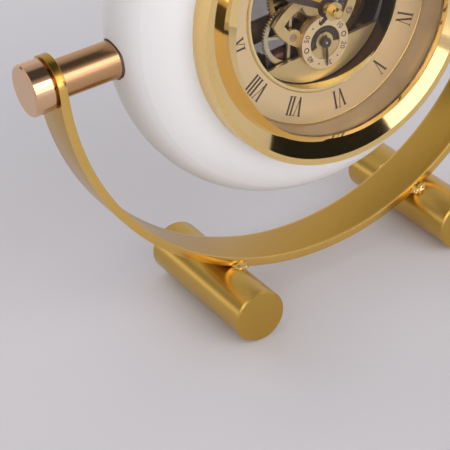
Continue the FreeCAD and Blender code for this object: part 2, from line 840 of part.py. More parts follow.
def add_core(body, teeth, module, depth, length, bore=None):
    """The round core of a pinion, up to the foot of its teeth."""
    sketch = new_sketch(body, "XZ_Plane", f"0 - ({depth})")
    draw_circle(sketch, f"{module} * ({teeth} / 2 - {ROOT_SHARE})")
    if bore:
        draw_circle(sketch, bore)
    return pad(body, sketch, length)


def add_tube(body, inner, outer, depth, length):
    sketch = new_sketch(body, "XZ_Plane", f"0 - ({depth})")
    draw_circle(sketch, outer)
    if inner:
        draw_circle(sketch, inner)
    return pad(body, sketch, length)


def make_wheel(name, teeth, module, bore):
    """A crossed-out wheel: toothed rim, straight spokes and hub. Its face lies at depth 0."""
    body = new_body(name)
    root = f"{module} * ({teeth} / 2 - {ROOT_SHARE})"
    add_tube(body, f"{root} - rim_width", root, "0", "wheel_thickness")
    spoke = new_sketch(body, "XZ_Plane")
    half = "spoke_width / 2"
    # A spoke starts inside the hub, clear of the bore, and ends inside the rim.
    draw_outline(spoke, [
        (f"0 - {half}", f"({bore} + hub_radius) / 2"),
        (half, f"({bore} + hub_radius) / 2"),
        (half, f"{root} - rim_width / 2"),
        (f"0 - {half}", f"{root} - rim_width / 2"),
    ])
    arm = pad(body, spoke, "wheel_thickness")
    doc.recompute()
    pattern = body.newObject("PartDesign::PolarPattern", name + "_spokes")
    pattern.Originals = [arm]
    pattern.Axis = (spoke, ["N_Axis"])
    pattern.Angle = FULL_TURN
    bind(pattern, Occurrences="spoke_count")
    body.Tip = pattern
    doc.recompute()
    add_tube(body, bore, "hub_radius", "0", "wheel_thickness")
    doc.recompute()
    add_teeth(body, teeth, module, "0", "wheel_thickness")
    return body


def mesh_phase(line, first_tooth, teeth, other_teeth):
    """Where the other wheel's first tooth goes, in degrees, so that its gap meets the tooth.

    line is the direction from this wheel's centre to the other's, counter-clockwise from +X.
    """
    step = (line - first_tooth) * SIZES[teeth] / FULL_TURN
    return line + HALF_TURN - (1 / 2 - step) * FULL_TURN / SIZES[other_teeth]


TOP = 90.0


def direction(x, z):
    return math.degrees(math.atan2(value(z), value(x)))


def make_train():
    """The train from the minute arbor through the third to the seconds, in mesh at rest."""
    third = ("0 - third_side", "0 - third_drop")
    seconds = ("0", "0 - seconds_drop")
    # the minute arbor's wheel has its first tooth at the top
    pinion_tooth = mesh_phase(direction(*third), TOP, "centre_teeth", "third_pinion_teeth")
    third_turn = pinion_tooth - TOP
    towards = direction("third_side", "third_drop - seconds_drop")
    seconds_tooth = mesh_phase(towards, TOP + third_turn, "third_teeth", "seconds_pinion_teeth")
    seconds_turn = seconds_tooth - TOP

    wheel = make_wheel("CentreWheel", "centre_teeth", "train_module", "centre_arbor_radius")
    node("centre_wheel", wheel, at(depth="centre_depth"))
    end = "back_plate_back"
    turned("centre_arbor", [
        ("0", "minute_hand_depth - nut_height / 2"),
        ("centre_arbor_radius", "minute_hand_depth - nut_height / 2"),
        ("centre_arbor_radius", "back_plate_front - running_clearance"),
        ("pivot_radius", "back_plate_front - running_clearance"),
        ("pivot_radius", end),
        ("0", end),
    ], at())
    cannon = new_body("CannonPinion")
    core_front = "minute_depth - (pinion_length - wheel_thickness) / 2"
    add_core(cannon, "cannon_teeth", "train_module", core_front, "pinion_length", "centre_arbor_radius")
    doc.recompute()
    add_tube(cannon, "centre_arbor_radius", "cannon_radius", "minute_hand_depth",
             f"{core_front} - minute_hand_depth")
    doc.recompute()
    add_teeth(cannon, "cannon_teeth", "train_module", core_front, "pinion_length")
    node("cannon_pinion", cannon, at())

    wheel = make_wheel("ThirdWheel", "third_teeth", "seconds_module", "arbor_radius")
    node("third_wheel", wheel, at(third[0], "third_depth", third[1], third_turn))
    arbor = new_body("ThirdArbor")
    pinion_front = "centre_depth - (pinion_length - wheel_thickness) / 2"
    add_arbor(arbor, "arbor_radius", "plate_back + running_clearance")
    add_core(arbor, "third_pinion_teeth", "train_module", pinion_front, "pinion_length")
    doc.recompute()
    add_teeth(arbor, "third_pinion_teeth", "train_module", pinion_front, "pinion_length")
    node("third_arbor", arbor, at(third[0], "0", third[1], third_turn))

    arbor = new_body("SecondsArbor")
    pinion_front = "third_depth - (pinion_length - wheel_thickness) / 2"
    add_arbor(arbor, "arbor_radius", "plate_back + running_clearance", "seconds_hand_depth")
    add_core(arbor, "seconds_pinion_teeth", "seconds_module", pinion_front, "pinion_length")
    doc.recompute()
    add_teeth(arbor, "seconds_pinion_teeth", "seconds_module", pinion_front, "pinion_length")
    node("seconds_arbor", arbor, at(seconds[0], "0", seconds[1], seconds_turn))
    wheel = make_wheel("SecondsWheel", "drive_teeth", "train_module", "arbor_radius")
    node("seconds_wheel", wheel, at(seconds[0], "drive_depth", seconds[1]))


def add_arbor(body, radius, shoulder, front="plate_front"):
    """A turned arbor with a thin pivot at each end, between the plates."""
    sketch = new_sketch(body, "XY_Plane")
    draw_outline(sketch, [
        ("0", front),
        ("pivot_radius", front),
        ("pivot_radius", shoulder),
        (radius, shoulder),
        (radius, "back_plate_front - running_clearance"),
        ("pivot_radius", "back_plate_front - running_clearance"),
        ("pivot_radius", "back_plate_back"),
        ("0", "back_plate_back"),
    ])
    spin = body.newObject("PartDesign::Revolution", body.Name + "_spin")
    spin.Profile = sketch
    spin.ReferenceAxis = (sketch, ["V_Axis"])
    spin.Angle = FULL_TURN
    doc.recompute()
    return spin


def make_motion_work():
    """Cannon pinion to minute wheel, its pinion to the hour wheel, and the setting pinion."""
    post = ("post_x", "post_z")
    line = direction(*post)
    minute_tooth = mesh_phase(line, TOP, "cannon_teeth", "minute_teeth")
    turn_of = minute_tooth - TOP
    hour_tooth = mesh_phase(line + HALF_TURN, TOP + turn_of, "motion_pinion_teeth", "hour_teeth")
    towards = direction("setting_x - post_x", "setting_z - post_z")
    setting_tooth = mesh_phase(towards, TOP + turn_of, "minute_teeth", "setting_teeth")

    pinion_front = "hour_depth - (pinion_length - wheel_thickness) / 2"
    wheel = make_wheel("MotionWheel", "minute_teeth", "train_module", "post_bore")
    add_core(wheel, "motion_pinion_teeth", "hour_module", f"{pinion_front} - minute_depth",
             f"minute_depth - {pinion_front}", "post_bore")
    doc.recompute()
    add_teeth(wheel, "motion_pinion_teeth", "hour_module", f"{pinion_front} - minute_depth",
              "pinion_length")
    node("motion_wheel", wheel, at(post[0], "minute_depth", post[1], turn_of))
    tip = "minute_depth + wheel_thickness + running_clearance"
    turned("motion_post", [
        ("0", "plate_back"),
        ("post_radius", "plate_back"),
        ("post_radius", tip),
        ("post_head", tip),
        ("post_head", f"{tip} + post_head_thickness"),
        ("0", f"{tip} + post_head_thickness"),
    ], at(post[0], "0", post[1]))

    wheel = make_wheel("HourWheel", "hour_teeth", "hour_module", "cannon_bore")
    add_tube(wheel, "cannon_bore", "pipe_radius", "hour_hand_depth - hour_depth",
             "hour_depth - hour_hand_depth")
    doc.recompute()
    wheel.Tip = wheel.Group[-1]
    node("hour_wheel", wheel, at("0", "hour_depth", "0", hour_tooth - TOP))

    arbor = new_body("SettingArbor")
    sketch = new_sketch(arbor, "XY_Plane")
    shoulder = "plate_back + running_clearance"
    draw_outline(sketch, [
        ("0", "plate_front"),
        ("pivot_radius", "plate_front"),
        ("pivot_radius", shoulder),
        ("arbor_radius", shoulder),
        ("arbor_radius", "back_plate_front - running_clearance"),
        ("pivot_radius", "back_plate_front - running_clearance"),
        ("pivot_radius", "knob_foot + knob_height / 2"),
        ("0", "knob_foot + knob_height / 2"),
    ])
    spin = arbor.newObject("PartDesign::Revolution", "SettingArbor_spin")
    spin.Profile = sketch
    spin.ReferenceAxis = (sketch, ["V_Axis"])
    spin.Angle = FULL_TURN
    doc.recompute()
    front = "minute_depth - (pinion_length - wheel_thickness) / 2"
    add_core(arbor, "setting_teeth", "train_module", front, "pinion_length")
    doc.recompute()
    add_teeth(arbor, "setting_teeth", "train_module", front, "pinion_length")
    node("setting_arbor", arbor, at("setting_x", "0", "setting_z", setting_tooth - TOP))


def make_setting_knob():
    """A fluted knob behind the clear cover, pressed on the setting arbor."""
    top = "knob_foot + knob_height"
    body = turned("SettingKnob", [
        ("pivot_radius", "knob_foot"),
        ("knob_radius", "knob_foot"),
        ("knob_radius", f"{top} - knob_edge"),
        ("knob_radius - knob_edge", top),
        ("0", top),
        ("0", "knob_foot + knob_height / 2"),
        ("pivot_radius", "knob_foot + knob_height / 2"),
    ])
    doc.recompute()
    sketch = new_sketch(body, "XZ_Plane", "0 - (knob_foot - overrun)")
    draw_circle(sketch, "knob_flute", y="knob_radius")
    flute = pocket(body, sketch, "knob_height + overrun * 2", backwards=False)
    doc.recompute()
    repeat(body, flute, sketch, "knob_flutes")
    return node("setting_knob", body, at("setting_x", "0", "setting_z"))


# Hands
def hand_blade(name, hub, length, half, tail, bore, depth, turn_angle, x="0", z="0"):
    """A slim blade that widens to a shoulder, tapers to its tip, and has a round hub and tail."""
    body = new_body(name.title().replace("_", ""))
    blade = new_sketch(body, "XZ_Plane")
    draw_outline(blade, [
        (f"0 - {half} * {TAIL_SHARE}", f"0 - ({tail})"),
        (f"{half} * {TAIL_SHARE}", f"0 - ({tail})"),
        (f"{half} * {HUB_SHARE}", "0"),
        (half, f"{length} * {SHOULDER_SHARE}"),
        (f"{half} * {POINT_SHARE}", length),
        (f"0 - {half} * {POINT_SHARE}", length),
        (f"0 - {half}", f"{length} * {SHOULDER_SHARE}"),
        (f"0 - {half} * {HUB_SHARE}", "0"),
    ])
    pad(body, blade, "hand_thickness")
    doc.recompute()
    add_tube(body, None, hub, "0", "hand_thickness")
    doc.recompute()
    hole = new_sketch(body, "XZ_Plane")
    draw_circle(hole, bore)
    bored = pocket(body, hole, "(hand_thickness + overrun) * 2", both_ways=True)
    body.Tip = bored
    return node(name, body, at(x, depth, z, -turn_angle))


def make_hands():
    hand_blade("hour_hand", "hour_hub", "hour_hand_length", "hour_hand_half",
               f"hand_tail * {HOUR_TAIL_SHARE}", "pipe_radius", "hour_hand_depth", HOUR_TURN)
    hand_blade("minute_hand", "minute_hub", "minute_hand_length", "minute_hand_half", "hand_tail",
               "centre_arbor_radius", "minute_hand_depth - hand_thickness", MINUTE_TURN)
    top = "minute_hand_depth - hand_thickness - collet_thickness"
    turned("minute_collet", tube("centre_arbor_radius", "collet_radius", top,
                                 f"{top} + collet_thickness"), at())
    turned("hand_nut", [
        ("0", f"{top} - nut_height"),
        ("nut_radius - nut_crown", f"{top} - nut_height"),
        ("nut_radius", f"{top} - nut_height + nut_crown"),
        ("nut_radius", top),
        ("centre_arbor_radius", top),
        ("centre_arbor_radius", "minute_hand_depth - nut_height / 2"),
        ("0", "minute_hand_depth - nut_height / 2"),
    ], at())
    hand_blade("seconds_hand", "seconds_hub", "seconds_hand_length", "seconds_hand_half",
               "seconds_tail", "pivot_radius", "seconds_hand_depth", SECONDS_TURN,
               z="0 - seconds_drop")


# Quartz drive and cell
def make_drive():
    """The sealed drive, with a slot that the seconds wheel runs in and a shelf for its coil."""
    front = "block_front"
    deep = "back_plate_front - block_front"
    high = "block_base - block_top"
    whole = fused("DriveWhole", [
        block("DriveBody", "0 - block_half", front, "0 - block_base", "block_half * 2", deep, high),
        block("DriveShelf", "0 - block_half - shelf_reach", front, "0 - block_top - shelf_thickness",
              "shelf_reach + block_half", "cheek_half * 2", "shelf_thickness"),
    ])
    wheel_tip = f"train_module * (drive_teeth / 2 + {TIP_SHARE}) + block_slot / 2"
    slot = bar_y("DriveSlot", wheel_tip, "drive_depth + (wheel_thickness - block_slot) / 2",
                 "block_slot", z="0 - seconds_drop")
    node("drive_block", cut("DriveBlock", whole, slot), at())
    start = "0 - block_half - shelf_reach"
    place = at("0", "coil_depth", "coil_centre_z")
    cheeks = [
        block("CheekNear", start, "0 - cheek_half", "0 - cheek_half", "cheek_thickness",
              "cheek_half * 2", "cheek_half * 2"),
        block("CheekFar", f"{start} + coil_length + cheek_thickness", "0 - cheek_half",
              "0 - cheek_half", "cheek_thickness", "cheek_half * 2", "cheek_half * 2"),
        bar_x("CoilCore", "core_radius", start, "coil_length + cheek_thickness * 2"),
    ]
    node("coil_former", fused("CoilFormer", cheeks), place)
    winding = cut("Winding",
                  bar_x("WindingOuter", "coil_radius", f"{start} + cheek_thickness", "coil_length"),
                  bar_x("WindingInner", "core_radius", f"{start}", "coil_length + cheek_thickness * 2"))
    node("drive_coil", winding, place)


def make_cell():
    """The cell lies across the top of the back plate in an open holder."""
    low = "cell_height - cell_radius - holder_play - holder_wall"
    high = "(cell_radius + holder_play + holder_wall) * 2"
    outer = block("HolderOuter", "0 - holder_half", "back_plate_back", low, "holder_half * 2",
                  "holder_depth", high)
    inner = block("HolderInner", "0 - holder_half + holder_wall", "back_plate_back + holder_wall",
                  f"{low} + holder_wall", "(holder_half - holder_wall) * 2",
                  "holder_depth + overrun", f"{high} - holder_wall * 2")
    node("cell_holder", cut("CellHolder", outer, inner), at())
    start = "cell_shift - cell_length / 2"
    cell = fused("Cell", [
        bar_x("CellCan", "cell_radius", start, "cell_length - cell_nub", "cell_depth", "cell_height"),
        bar_x("CellNub", "cell_nub_radius", f"{start} + cell_length - cell_nub - holder_play",
              "cell_nub + holder_play", "cell_depth", "cell_height"),
    ])
    node("cell", cell, at())
    left = "0 - holder_half + holder_wall"
    right = "holder_half - holder_wall - contact_thickness"
    spring = turned("SpringCone", [
        ("0", "0"),
        ("spring_radius", "0"),
        ("spring_radius / 2", f"{start} - ({left}) - contact_thickness"),
        ("0", f"{start} - ({left}) - contact_thickness"),
    ])
    spot = shift(f"{left} + contact_thickness", "cell_depth", "cell_height") + " * " + turn(ALONG_Z, "-90")
    spring.setExpression("Placement", spelled(spot))
    plates = [
        block("ContactMinus", left, "cell_depth - contact_half", "cell_height - contact_half",
              "contact_thickness", "contact_half * 2", "contact_half * 2"),
        block("ContactPlus", right, "cell_depth - contact_half", "cell_height - contact_half",
              "contact_thickness", "contact_half * 2", "contact_half * 2"),
    ]
    node("cell_contacts", group("CellContacts", [fused("MinusContact", [plates[0], spring]), plates[1]]), at())


# Back
def make_back():
    rise = "seat_back + back_ring_height"
    turned("back_ring", [
        ("back_ring_lip", "seat_back"),
        ("back_ring_lip", rise),
        ("bezel_radius", rise),
        ("bezel_radius", "seat_back"),
        ("spigot_radius", "seat_back"),
        ("spigot_radius", "seat_back - back_spigot"),
        ("cover_bore", "seat_back - back_spigot"),
        ("cover_bore", "seat_back"),
    ], at())
    body = new_body("BackCover")
    add_tube(body, None, "cover_radius", "cover_front", "cover_thickness")
    doc.recompute()
    hole = new_sketch(body, "XZ_Plane", "0 - (cover_front - overrun)")
    draw_circle(hole, "pivot_radius + running_clearance", "setting_x", "setting_z")
    bored = pocket(body, hole, "cover_thickness + overrun * 2")
    body.Tip = bored
    node("back_cover", body, at())


make_band()
make_foot("foot_left", "-1")
make_foot("foot_right", "1")
make_case()
make_pivots()
make_front()
make_front_plate()
make_back_plate()
make_pillars()
make_seconds_dial()
make_train()
make_motion_work()
make_setting_knob()
make_hands()
make_drive()
make_cell()
make_back()
doc.recompute()

faults = [o.Name for o in doc.Objects if "Invalid" in o.State or "Error" in o.State]
if faults:
    raise RuntimeError("these objects did not compute: " + ", ".join(faults))
for piece in NODES:
    shape = piece.Shape
    if shape.isNull() or not shape.isValid() or not shape.Solids:
        raise RuntimeError(piece.Label + " has no valid solid")

os.makedirs("parts", exist_ok=True)
for piece in NODES:
    piece.Shape.exportStep(os.path.join("parts", piece.Label + ".step"))
print(f"{len(NODES)} sub-parts written")
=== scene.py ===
import json
import math

import bmesh
import bpy
from mathutils import Matrix, Vector, noise


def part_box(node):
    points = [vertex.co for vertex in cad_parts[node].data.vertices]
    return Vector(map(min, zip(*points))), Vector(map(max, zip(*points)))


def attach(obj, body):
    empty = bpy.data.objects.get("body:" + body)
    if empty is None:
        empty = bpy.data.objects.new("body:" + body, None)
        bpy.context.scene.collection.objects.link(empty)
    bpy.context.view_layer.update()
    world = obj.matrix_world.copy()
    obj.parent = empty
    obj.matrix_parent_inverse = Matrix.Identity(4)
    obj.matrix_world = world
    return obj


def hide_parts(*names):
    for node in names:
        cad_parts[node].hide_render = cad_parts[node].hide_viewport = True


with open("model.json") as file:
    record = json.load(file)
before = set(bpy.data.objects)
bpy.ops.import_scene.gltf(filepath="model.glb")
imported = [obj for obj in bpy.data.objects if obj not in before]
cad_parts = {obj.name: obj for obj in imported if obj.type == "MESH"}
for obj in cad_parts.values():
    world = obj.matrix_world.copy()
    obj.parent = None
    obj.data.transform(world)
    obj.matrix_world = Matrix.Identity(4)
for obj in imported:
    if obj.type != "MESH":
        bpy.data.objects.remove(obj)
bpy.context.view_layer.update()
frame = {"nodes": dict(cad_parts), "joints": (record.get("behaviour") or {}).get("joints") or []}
MM = 0.001

# The dial's own frame: x to the right, depth inwards from the bezel's seat, z up
JOINTS = {joint["name"]: joint for joint in frame["joints"]}
SEAT = Vector(JOINTS["minute_turn"]["pos_m"])
INWARD = Vector(JOINTS["minute_turn"]["axis"])
LEAN = math.atan2(INWARD.z, INWARD.y)
DIAL_TURN = math.radians(-4.0)
DIAL = (Matrix.Translation(SEAT) @ Matrix.Rotation(LEAN, 4, "X")
        @ Matrix.Rotation(DIAL_TURN, 4, "Y"))
RIGHTWARD = (DIAL.to_3x3() @ Vector((1.0, 0.0, 0.0))).normalized()

# Depths in that frame, in millimetres
CHAPTER_FACE = 3.05
SECONDS_FACE = 6.25
PLATE_FACE = 8.45
BACK_PLATE_BACK = 24.15


# Nodes
class Value:
    """A socket that can be reckoned with: an operator on it adds a Math node."""

    def __init__(self, paint, socket):
        self.paint = paint
        self.socket = socket

    def _math(self, operation, *others):
        return self.paint.node("ShaderNodeMath", {"operation": operation}, *others)

    def __add__(self, other):
        return self._math("ADD", self, other)

    __radd__ = __add__

    def __sub__(self, other):
        return self._math("SUBTRACT", self, other)

    def __rsub__(self, other):
        return self._math("SUBTRACT", other, self)

    def __mul__(self, other):
        return self._math("MULTIPLY", self, other)

    def __truediv__(self, other):
        return self._math("DIVIDE", self, other)

    def __abs__(self):
        return self._math("ABSOLUTE", self)

    def at_least(self, least):
        return self._math("MAXIMUM", self, least)

    def above(self, edge, blur):
        """0 below the edge and 1 above it, with a soft step as wide as the blur."""
        step = (self - (edge - blur / 2)) / blur
        return self.paint.node("ShaderNodeClamp", {}, step, 0.0, 1.0)

    def sway(self, width):
        """A noise from 0 to 1, moved to swing about 0 over the given width."""
        return (self - 0.5) * width


class Paint:
    """A material, or the world, whose nodes are added one call at a time."""

    def __init__(self, name, owner=None):
        self.material = owner or bpy.data.materials.new(name)
        self.material.use_nodes = True
        self.tree = self.material.node_tree
        self.tree.nodes.clear()
        end = "ShaderNodeOutputWorld" if owner else "ShaderNodeOutputMaterial"
        self.output = self.tree.nodes.new(end)

    def put(self, socket, given):
        """Link a socket to another node, or set the value it holds itself."""
        if isinstance(given, Value):
            self.tree.links.new(given.socket, socket)
        else:
            socket.default_value = given

    def node(self, kind, settings, *inputs, out=0, **named):
        """Add a node: its settings first, then its inputs, in order or by name."""
        made = self.tree.nodes.new(kind)
        for key, setting in settings.items():
            setattr(made, key, setting)
        for index, given in enumerate(inputs):
            self.put(made.inputs[index], given)
        for key, given in named.items():
            self.put(made.inputs[key.replace("_", " ")], given)
        return Value(self, made.outputs[out])

    def vector(self, operation, *inputs, out=0, **named):
        settings = {"operation": operation}
        return self.node("ShaderNodeVectorMath", settings, *inputs, out=out, **named)

    def mix(self, share, first, second):
        """A blend of two colours, which a Mix node keeps at inputs 6 and 7 and output 2."""
        made = self.tree.nodes.new("ShaderNodeMix")
        made.data_type = "RGBA"
        for index, given in ((0, share), (6, first), (7, second)):
            self.put(made.inputs[index], given)
        return Value(self, made.outputs[2])

    def place(self):
        """Where a point lies on the object at rest, in metres."""
        return self.node("ShaderNodeTexCoord", {}, out="Object")

    def spots(self, scale, detail=2.0, roughness=0.5, stretch=None):
        """Soft noise from 0 to 1. stretch makes its spots longer along an axis."""
        where = self.place()
        if stretch:
            where = self.node("ShaderNodeMapping", {}, where, Scale=stretch)
        return self.node("ShaderNodeTexNoise", {}, where, Scale=scale, Detail=detail,
                         Roughness=roughness)

    def bump(self, height, strength, distance):
        return self.node("ShaderNodeBump", {}, Strength=strength, Distance=distance,
                         Height=height)

    def finish(self, shader):
        self.tree.links.new(shader.socket, self.output.inputs["Surface"])
        return self.material

    def surface(self, **inputs):
        return self.finish(self.node("ShaderNodeBsdfPrincipled", {}, **inputs))


def tint(red, green, blue):
    """A colour for a shader, from the 0 to 255 values that a screen shows."""
    linear = []
    for channel in (red, green, blue):
        share = channel / 255
        linear.append(share / 12.92 if share <= 0.04045 else ((share + 0.055) / 1.055) ** 2.4)
    return (*linear, 1.0)


# Finishes. A noise's scale is in spots per metre, and a bump's distance in metres.
CLOUDS = {"scale": 35.0, "detail": 3.0}
WIDE_CLOUDS = {"scale": 30.0}
PLATING_GRAIN = {"scale": 7000.0, "roughness": 0.6}
PLATING_BUMP = {"strength": 0.012, "distance": 0.01 * MM}
FAINT = 0.02 * MM


def satin_metal(name, dark, light, roughness):
    """Plated metal with a fine grain, a little tone from place to place, and soft highlights."""
    paint = Paint(name)
    tone = paint.spots(**CLOUDS)
    grain = paint.spots(**PLATING_GRAIN)
    return paint.surface(
        Base_Color=paint.mix(tone, dark, light),
        Metallic=1.0,
        Roughness=roughness + grain.sway(0.05) + tone.sway(0.06),
        Normal=paint.bump(grain, **PLATING_BUMP),
    )


BAND_ROUGHNESS = 0.25
# Width and blur of the painted highlight along the band's long edges
PAINTED_HIGHLIGHT_WIDTH = 0.8 * MM
PAINTED_HIGHLIGHT_BLUR = 0.9 * MM


def band_metal():
    """The satin plate of the band, with a painted highlight: its colour is painted brighter
    towards its two long edges.
    """
    paint = Paint("band_gold")
    low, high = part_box("stand_band")
    depth = paint.node("ShaderNodeSeparateXYZ", {}, paint.place(), out="Y")
    reach = abs(depth - (low[1] + high[1]) / 2)
    # Painted highlight: a brighter gold painted along both long edges, where the rounded edges
    # catch the light
    painted_highlight = reach.above((high[1] - low[1]) / 2 - PAINTED_HIGHLIGHT_WIDTH, PAINTED_HIGHLIGHT_BLUR)
    tone = paint.spots(**CLOUDS)
    grain = paint.spots(**PLATING_GRAIN)
    plain = paint.mix(tone, tint(190, 148, 62), tint(202, 160, 74))
    # bright: the gold of the painted highlight
    bright = paint.mix(tone, tint(222, 180, 96), tint(232, 193, 111))
    return paint.surface(
        Base_Color=paint.mix(painted_highlight, plain, bright),
        Metallic=1.0,
        Roughness=BAND_ROUGHNESS - painted_highlight * 0.05 + grain.sway(0.05) + tone.sway(0.06),
        Normal=paint.bump(grain, **PLATING_BUMP),
    )


def polished_metal(name, dark, light, roughness=0.09):
    """Bright plate with faint wipe marks."""
    paint = Paint(name)
    tone = paint.spots(scale=22.0)
    wipes = paint.spots(scale=240.0, detail=3.0, roughness=0.6, stretch=(1.0, 0.25, 1.0))
    return paint.surface(
        Base_Color=paint.mix(tone, dark, light),
        Metallic=1.0,
        Roughness=roughness + wipes.sway(0.05),
        Normal=paint.bump(wipes, strength=0.02, distance=FAINT),
    )


BEZEL_CREASE = 51.35 * MM
CREASE_BLUR = 0.25 * MM
MIRROR_ROUGHNESS = 0.06
SATIN_EXTRA = 0.24


def bezel_metal():
    """Satin on the bezel's side wall and land, mirror bright on the slope inside the crease."""
    paint = Paint("bezel_gold")
    offset = paint.vector("SUBTRACT", paint.place(), tuple(SEAT))
    along = paint.vector("DOT_PRODUCT", offset, tuple(INWARD), out="Value")
    axial = paint.vector("SCALE", tuple(INWARD), Scale=along)
    radius = paint.vector("LENGTH", paint.vector("SUBTRACT", offset, axial), out="Value")
    satin = radius.above(BEZEL_CREASE, CREASE_BLUR)
    grain = paint.spots(scale=1100.0, roughness=0.6)
    tone = paint.spots(**WIDE_CLOUDS)
    mirror_gold = paint.mix(tone, tint(240, 208, 142), tint(247, 218, 156))
    satin_gold = paint.mix(tone, tint(234, 200, 128), tint(242, 210, 142))
    return paint.surface(
        Base_Color=paint.mix(satin, mirror_gold, satin_gold),
        Metallic=1.0,
        Roughness=MIRROR_ROUGHNESS + satin * SATIN_EXTRA + grain.sway(satin * 0.12 + 0.02),
        Normal=paint.bump(grain * satin, strength=0.1, distance=FAINT),
    )


# Painted shade in the well: the depth where it starts, its blur, and how much sooner it starts
# towards the right
PAINTED_SHADE_DEPTH = 6.2 * MM
PAINTED_SHADE_BLUR = 0.5 * MM
PAINTED_SHADE_SLOPE = 0.22


def well_metal():
    """Polished gilt, with painted shade: dark brown painted deep in the well, and from less deep
    towards its right.
    """
    paint = Paint("well_gilt")
    offset = paint.vector("SUBTRACT", paint.place(), tuple(SEAT))
    right = paint.vector("DOT_PRODUCT", offset, tuple(RIGHTWARD), out="Value")
    depth = paint.vector("DOT_PRODUCT", offset, tuple(INWARD), out="Value")
    # Painted shade: the deep wall of the well, and more of it towards its right, is painted dark
    # brown
    painted_shade = (depth + right * PAINTED_SHADE_SLOPE).above(PAINTED_SHADE_DEPTH, PAINTED_SHADE_BLUR)
    tone = paint.spots(**WIDE_CLOUDS)
    gilt = paint.mix(tone, tint(252, 226, 158), tint(255, 236, 174))
    # brown: the colour of the painted shade
    brown = paint.mix(tone, tint(66, 46, 26), tint(80, 58, 34))
    return paint.surface(
        Base_Color=paint.mix(painted_shade, gilt, brown),
        Metallic=1.0,
        Roughness=0.2 + painted_shade * 0.15 + tone.sway(0.04),
    )


def white_lacquer():
    """Satin white lacquer with a barely seen orange-peel."""
    paint = Paint("white_lacquer")
    tone = paint.spots(scale=9.0)
    peel = paint.spots(scale=420.0)
    return paint.surface(
        Base_Color=paint.mix(tone, tint(216, 214, 212), tint(222, 221, 219)),
        Roughness=0.42 + peel.sway(0.1),
        Normal=paint.bump(peel, strength=0.05, distance=0.05 * MM),
        Specular_IOR_Level=0.5,
        Coat_Weight=0.12,
        Coat_Roughness=0.3,
    )


def frosted_gilt(name, dark, light, roughness, metallic):
    """The blasted champagne finish of the dial and plates."""
    paint = Paint(name)
    tone = paint.spots(scale=45.0, detail=3.0)
    sand = paint.spots(scale=2600.0, roughness=0.6)
    return paint.surface(
        Base_Color=paint.mix(tone, dark, light),
        Metallic=metallic,
        Roughness=roughness + sand.sway(0.14),
        Normal=paint.bump(sand, strength=0.18, distance=FAINT),
    )


def plain_finish(name, dark, light, roughness, metallic=0.0, grain_scale=800.0):
    """Moulded or lacquered stuff with a faint grain."""
    paint = Paint(name)
    grain = paint.spots(scale=grain_scale)
    return paint.surface(
        Base_Color=paint.mix(grain, dark, light),
        Metallic=metallic,
        Roughness=roughness + grain.sway(0.12),
        Normal=paint.bump(grain, strength=0.08, distance=FAINT),
    )


GLASS_IOR = 1.45
GLASS_ROUGHNESS = 0.02
GLASS_SMEAR = 0.02
WHITE = (1.0, 1.0, 1.0, 1.0)


def clear_glass(name, colour, shine):
    """Glass that lets light straight through and only mirrors at its face."""
    paint = Paint(name)
    smear = paint.spots(scale=60.0, detail=3.0)
    clear = paint.node("ShaderNodeBsdfTransparent", {}, Color=colour)
    gloss = paint.node("ShaderNodeBsdfPrincipled", {}, Base_Color=WHITE, Metallic=1.0,
                       Roughness=GLASS_ROUGHNESS + smear * GLASS_SMEAR)
    facing = paint.node("ShaderNodeFresnel", {}, IOR=GLASS_IOR)
    return paint.finish(paint.node("ShaderNodeMixShader", {}, facing * shine, clear, gloss))


FINISH = {
    "satin_gold": satin_metal("satin_gold", tint(194, 152, 63), tint(206, 164, 75), 0.25),
    "rod_gold": satin_metal("rod_gold", tint(199, 159, 74), tint(211, 173, 88), 0.25),
    "band": band_metal(),
    "bezel": bezel_metal(),
    "polished_gold": polished_metal("polished_gold", tint(240, 204, 128), tint(246, 216, 146)),
    "rose_gold": polished_metal("rose_gold", tint(222, 178, 138), tint(232, 192, 154), 0.08),
    "tube_gold": polished_metal("tube_gold", tint(198, 153, 108), tint(210, 167, 122), 0.23),
    "well": well_metal(),
    "white": white_lacquer(),
    "wall": frosted_gilt("wall_champagne", tint(184, 163, 134), tint(194, 175, 148), 0.36, 0.6),
    "dial": frosted_gilt("dial_champagne", tint(226, 198, 154), tint(235, 209, 167), 0.42, 0.7),
    "plate": frosted_gilt("plate_champagne", tint(214, 188, 132), tint(224, 198, 144), 0.36, 0.9),
    "dark_plate": satin_metal("dark_plate", tint(112, 92, 72), tint(126, 104, 82), 0.36),
    "steel": satin_metal("steel", tint(176, 172, 168), tint(196, 192, 188), 0.25),
    "chrome": polished_metal("chrome", tint(206, 204, 202), tint(222, 220, 218)),
    "nylon": plain_finish("white_nylon", tint(168, 158, 140), tint(184, 174, 156), 0.38),
    "pale_brass": satin_metal("pale_brass", tint(206, 190, 156), tint(218, 204, 172), 0.3),
    "wheel_brass": satin_metal("wheel_brass", tint(206, 178, 116), tint(220, 192, 132), 0.3),
    "ink": plain_finish("hand_brown", tint(58, 44, 36), tint(72, 56, 46), 0.42),
    "dark": plain_finish("dark_plastic", tint(52, 42, 38), tint(64, 52, 46), 0.5),
    "washer": plain_finish("washer_brown", tint(70, 52, 40), tint(82, 62, 48), 0.45),
    "copper": plain_finish("winding", tint(84, 50, 36), tint(104, 64, 44), 0.34, 0.4, 3000.0),
    "jewel": plain_finish("jewel", tint(150, 112, 84), tint(164, 126, 96), 0.2),
    "glass": clear_glass("front_glass", (0.985, 0.985, 0.98, 1.0), 0.12),
    "cover": clear_glass("smoked_cover", (0.62, 0.60, 0.58, 1.0), 0.5),
    "cell": plain_finish("cell_wrap", tint(52, 56, 62), tint(60, 64, 70), 0.34),
}

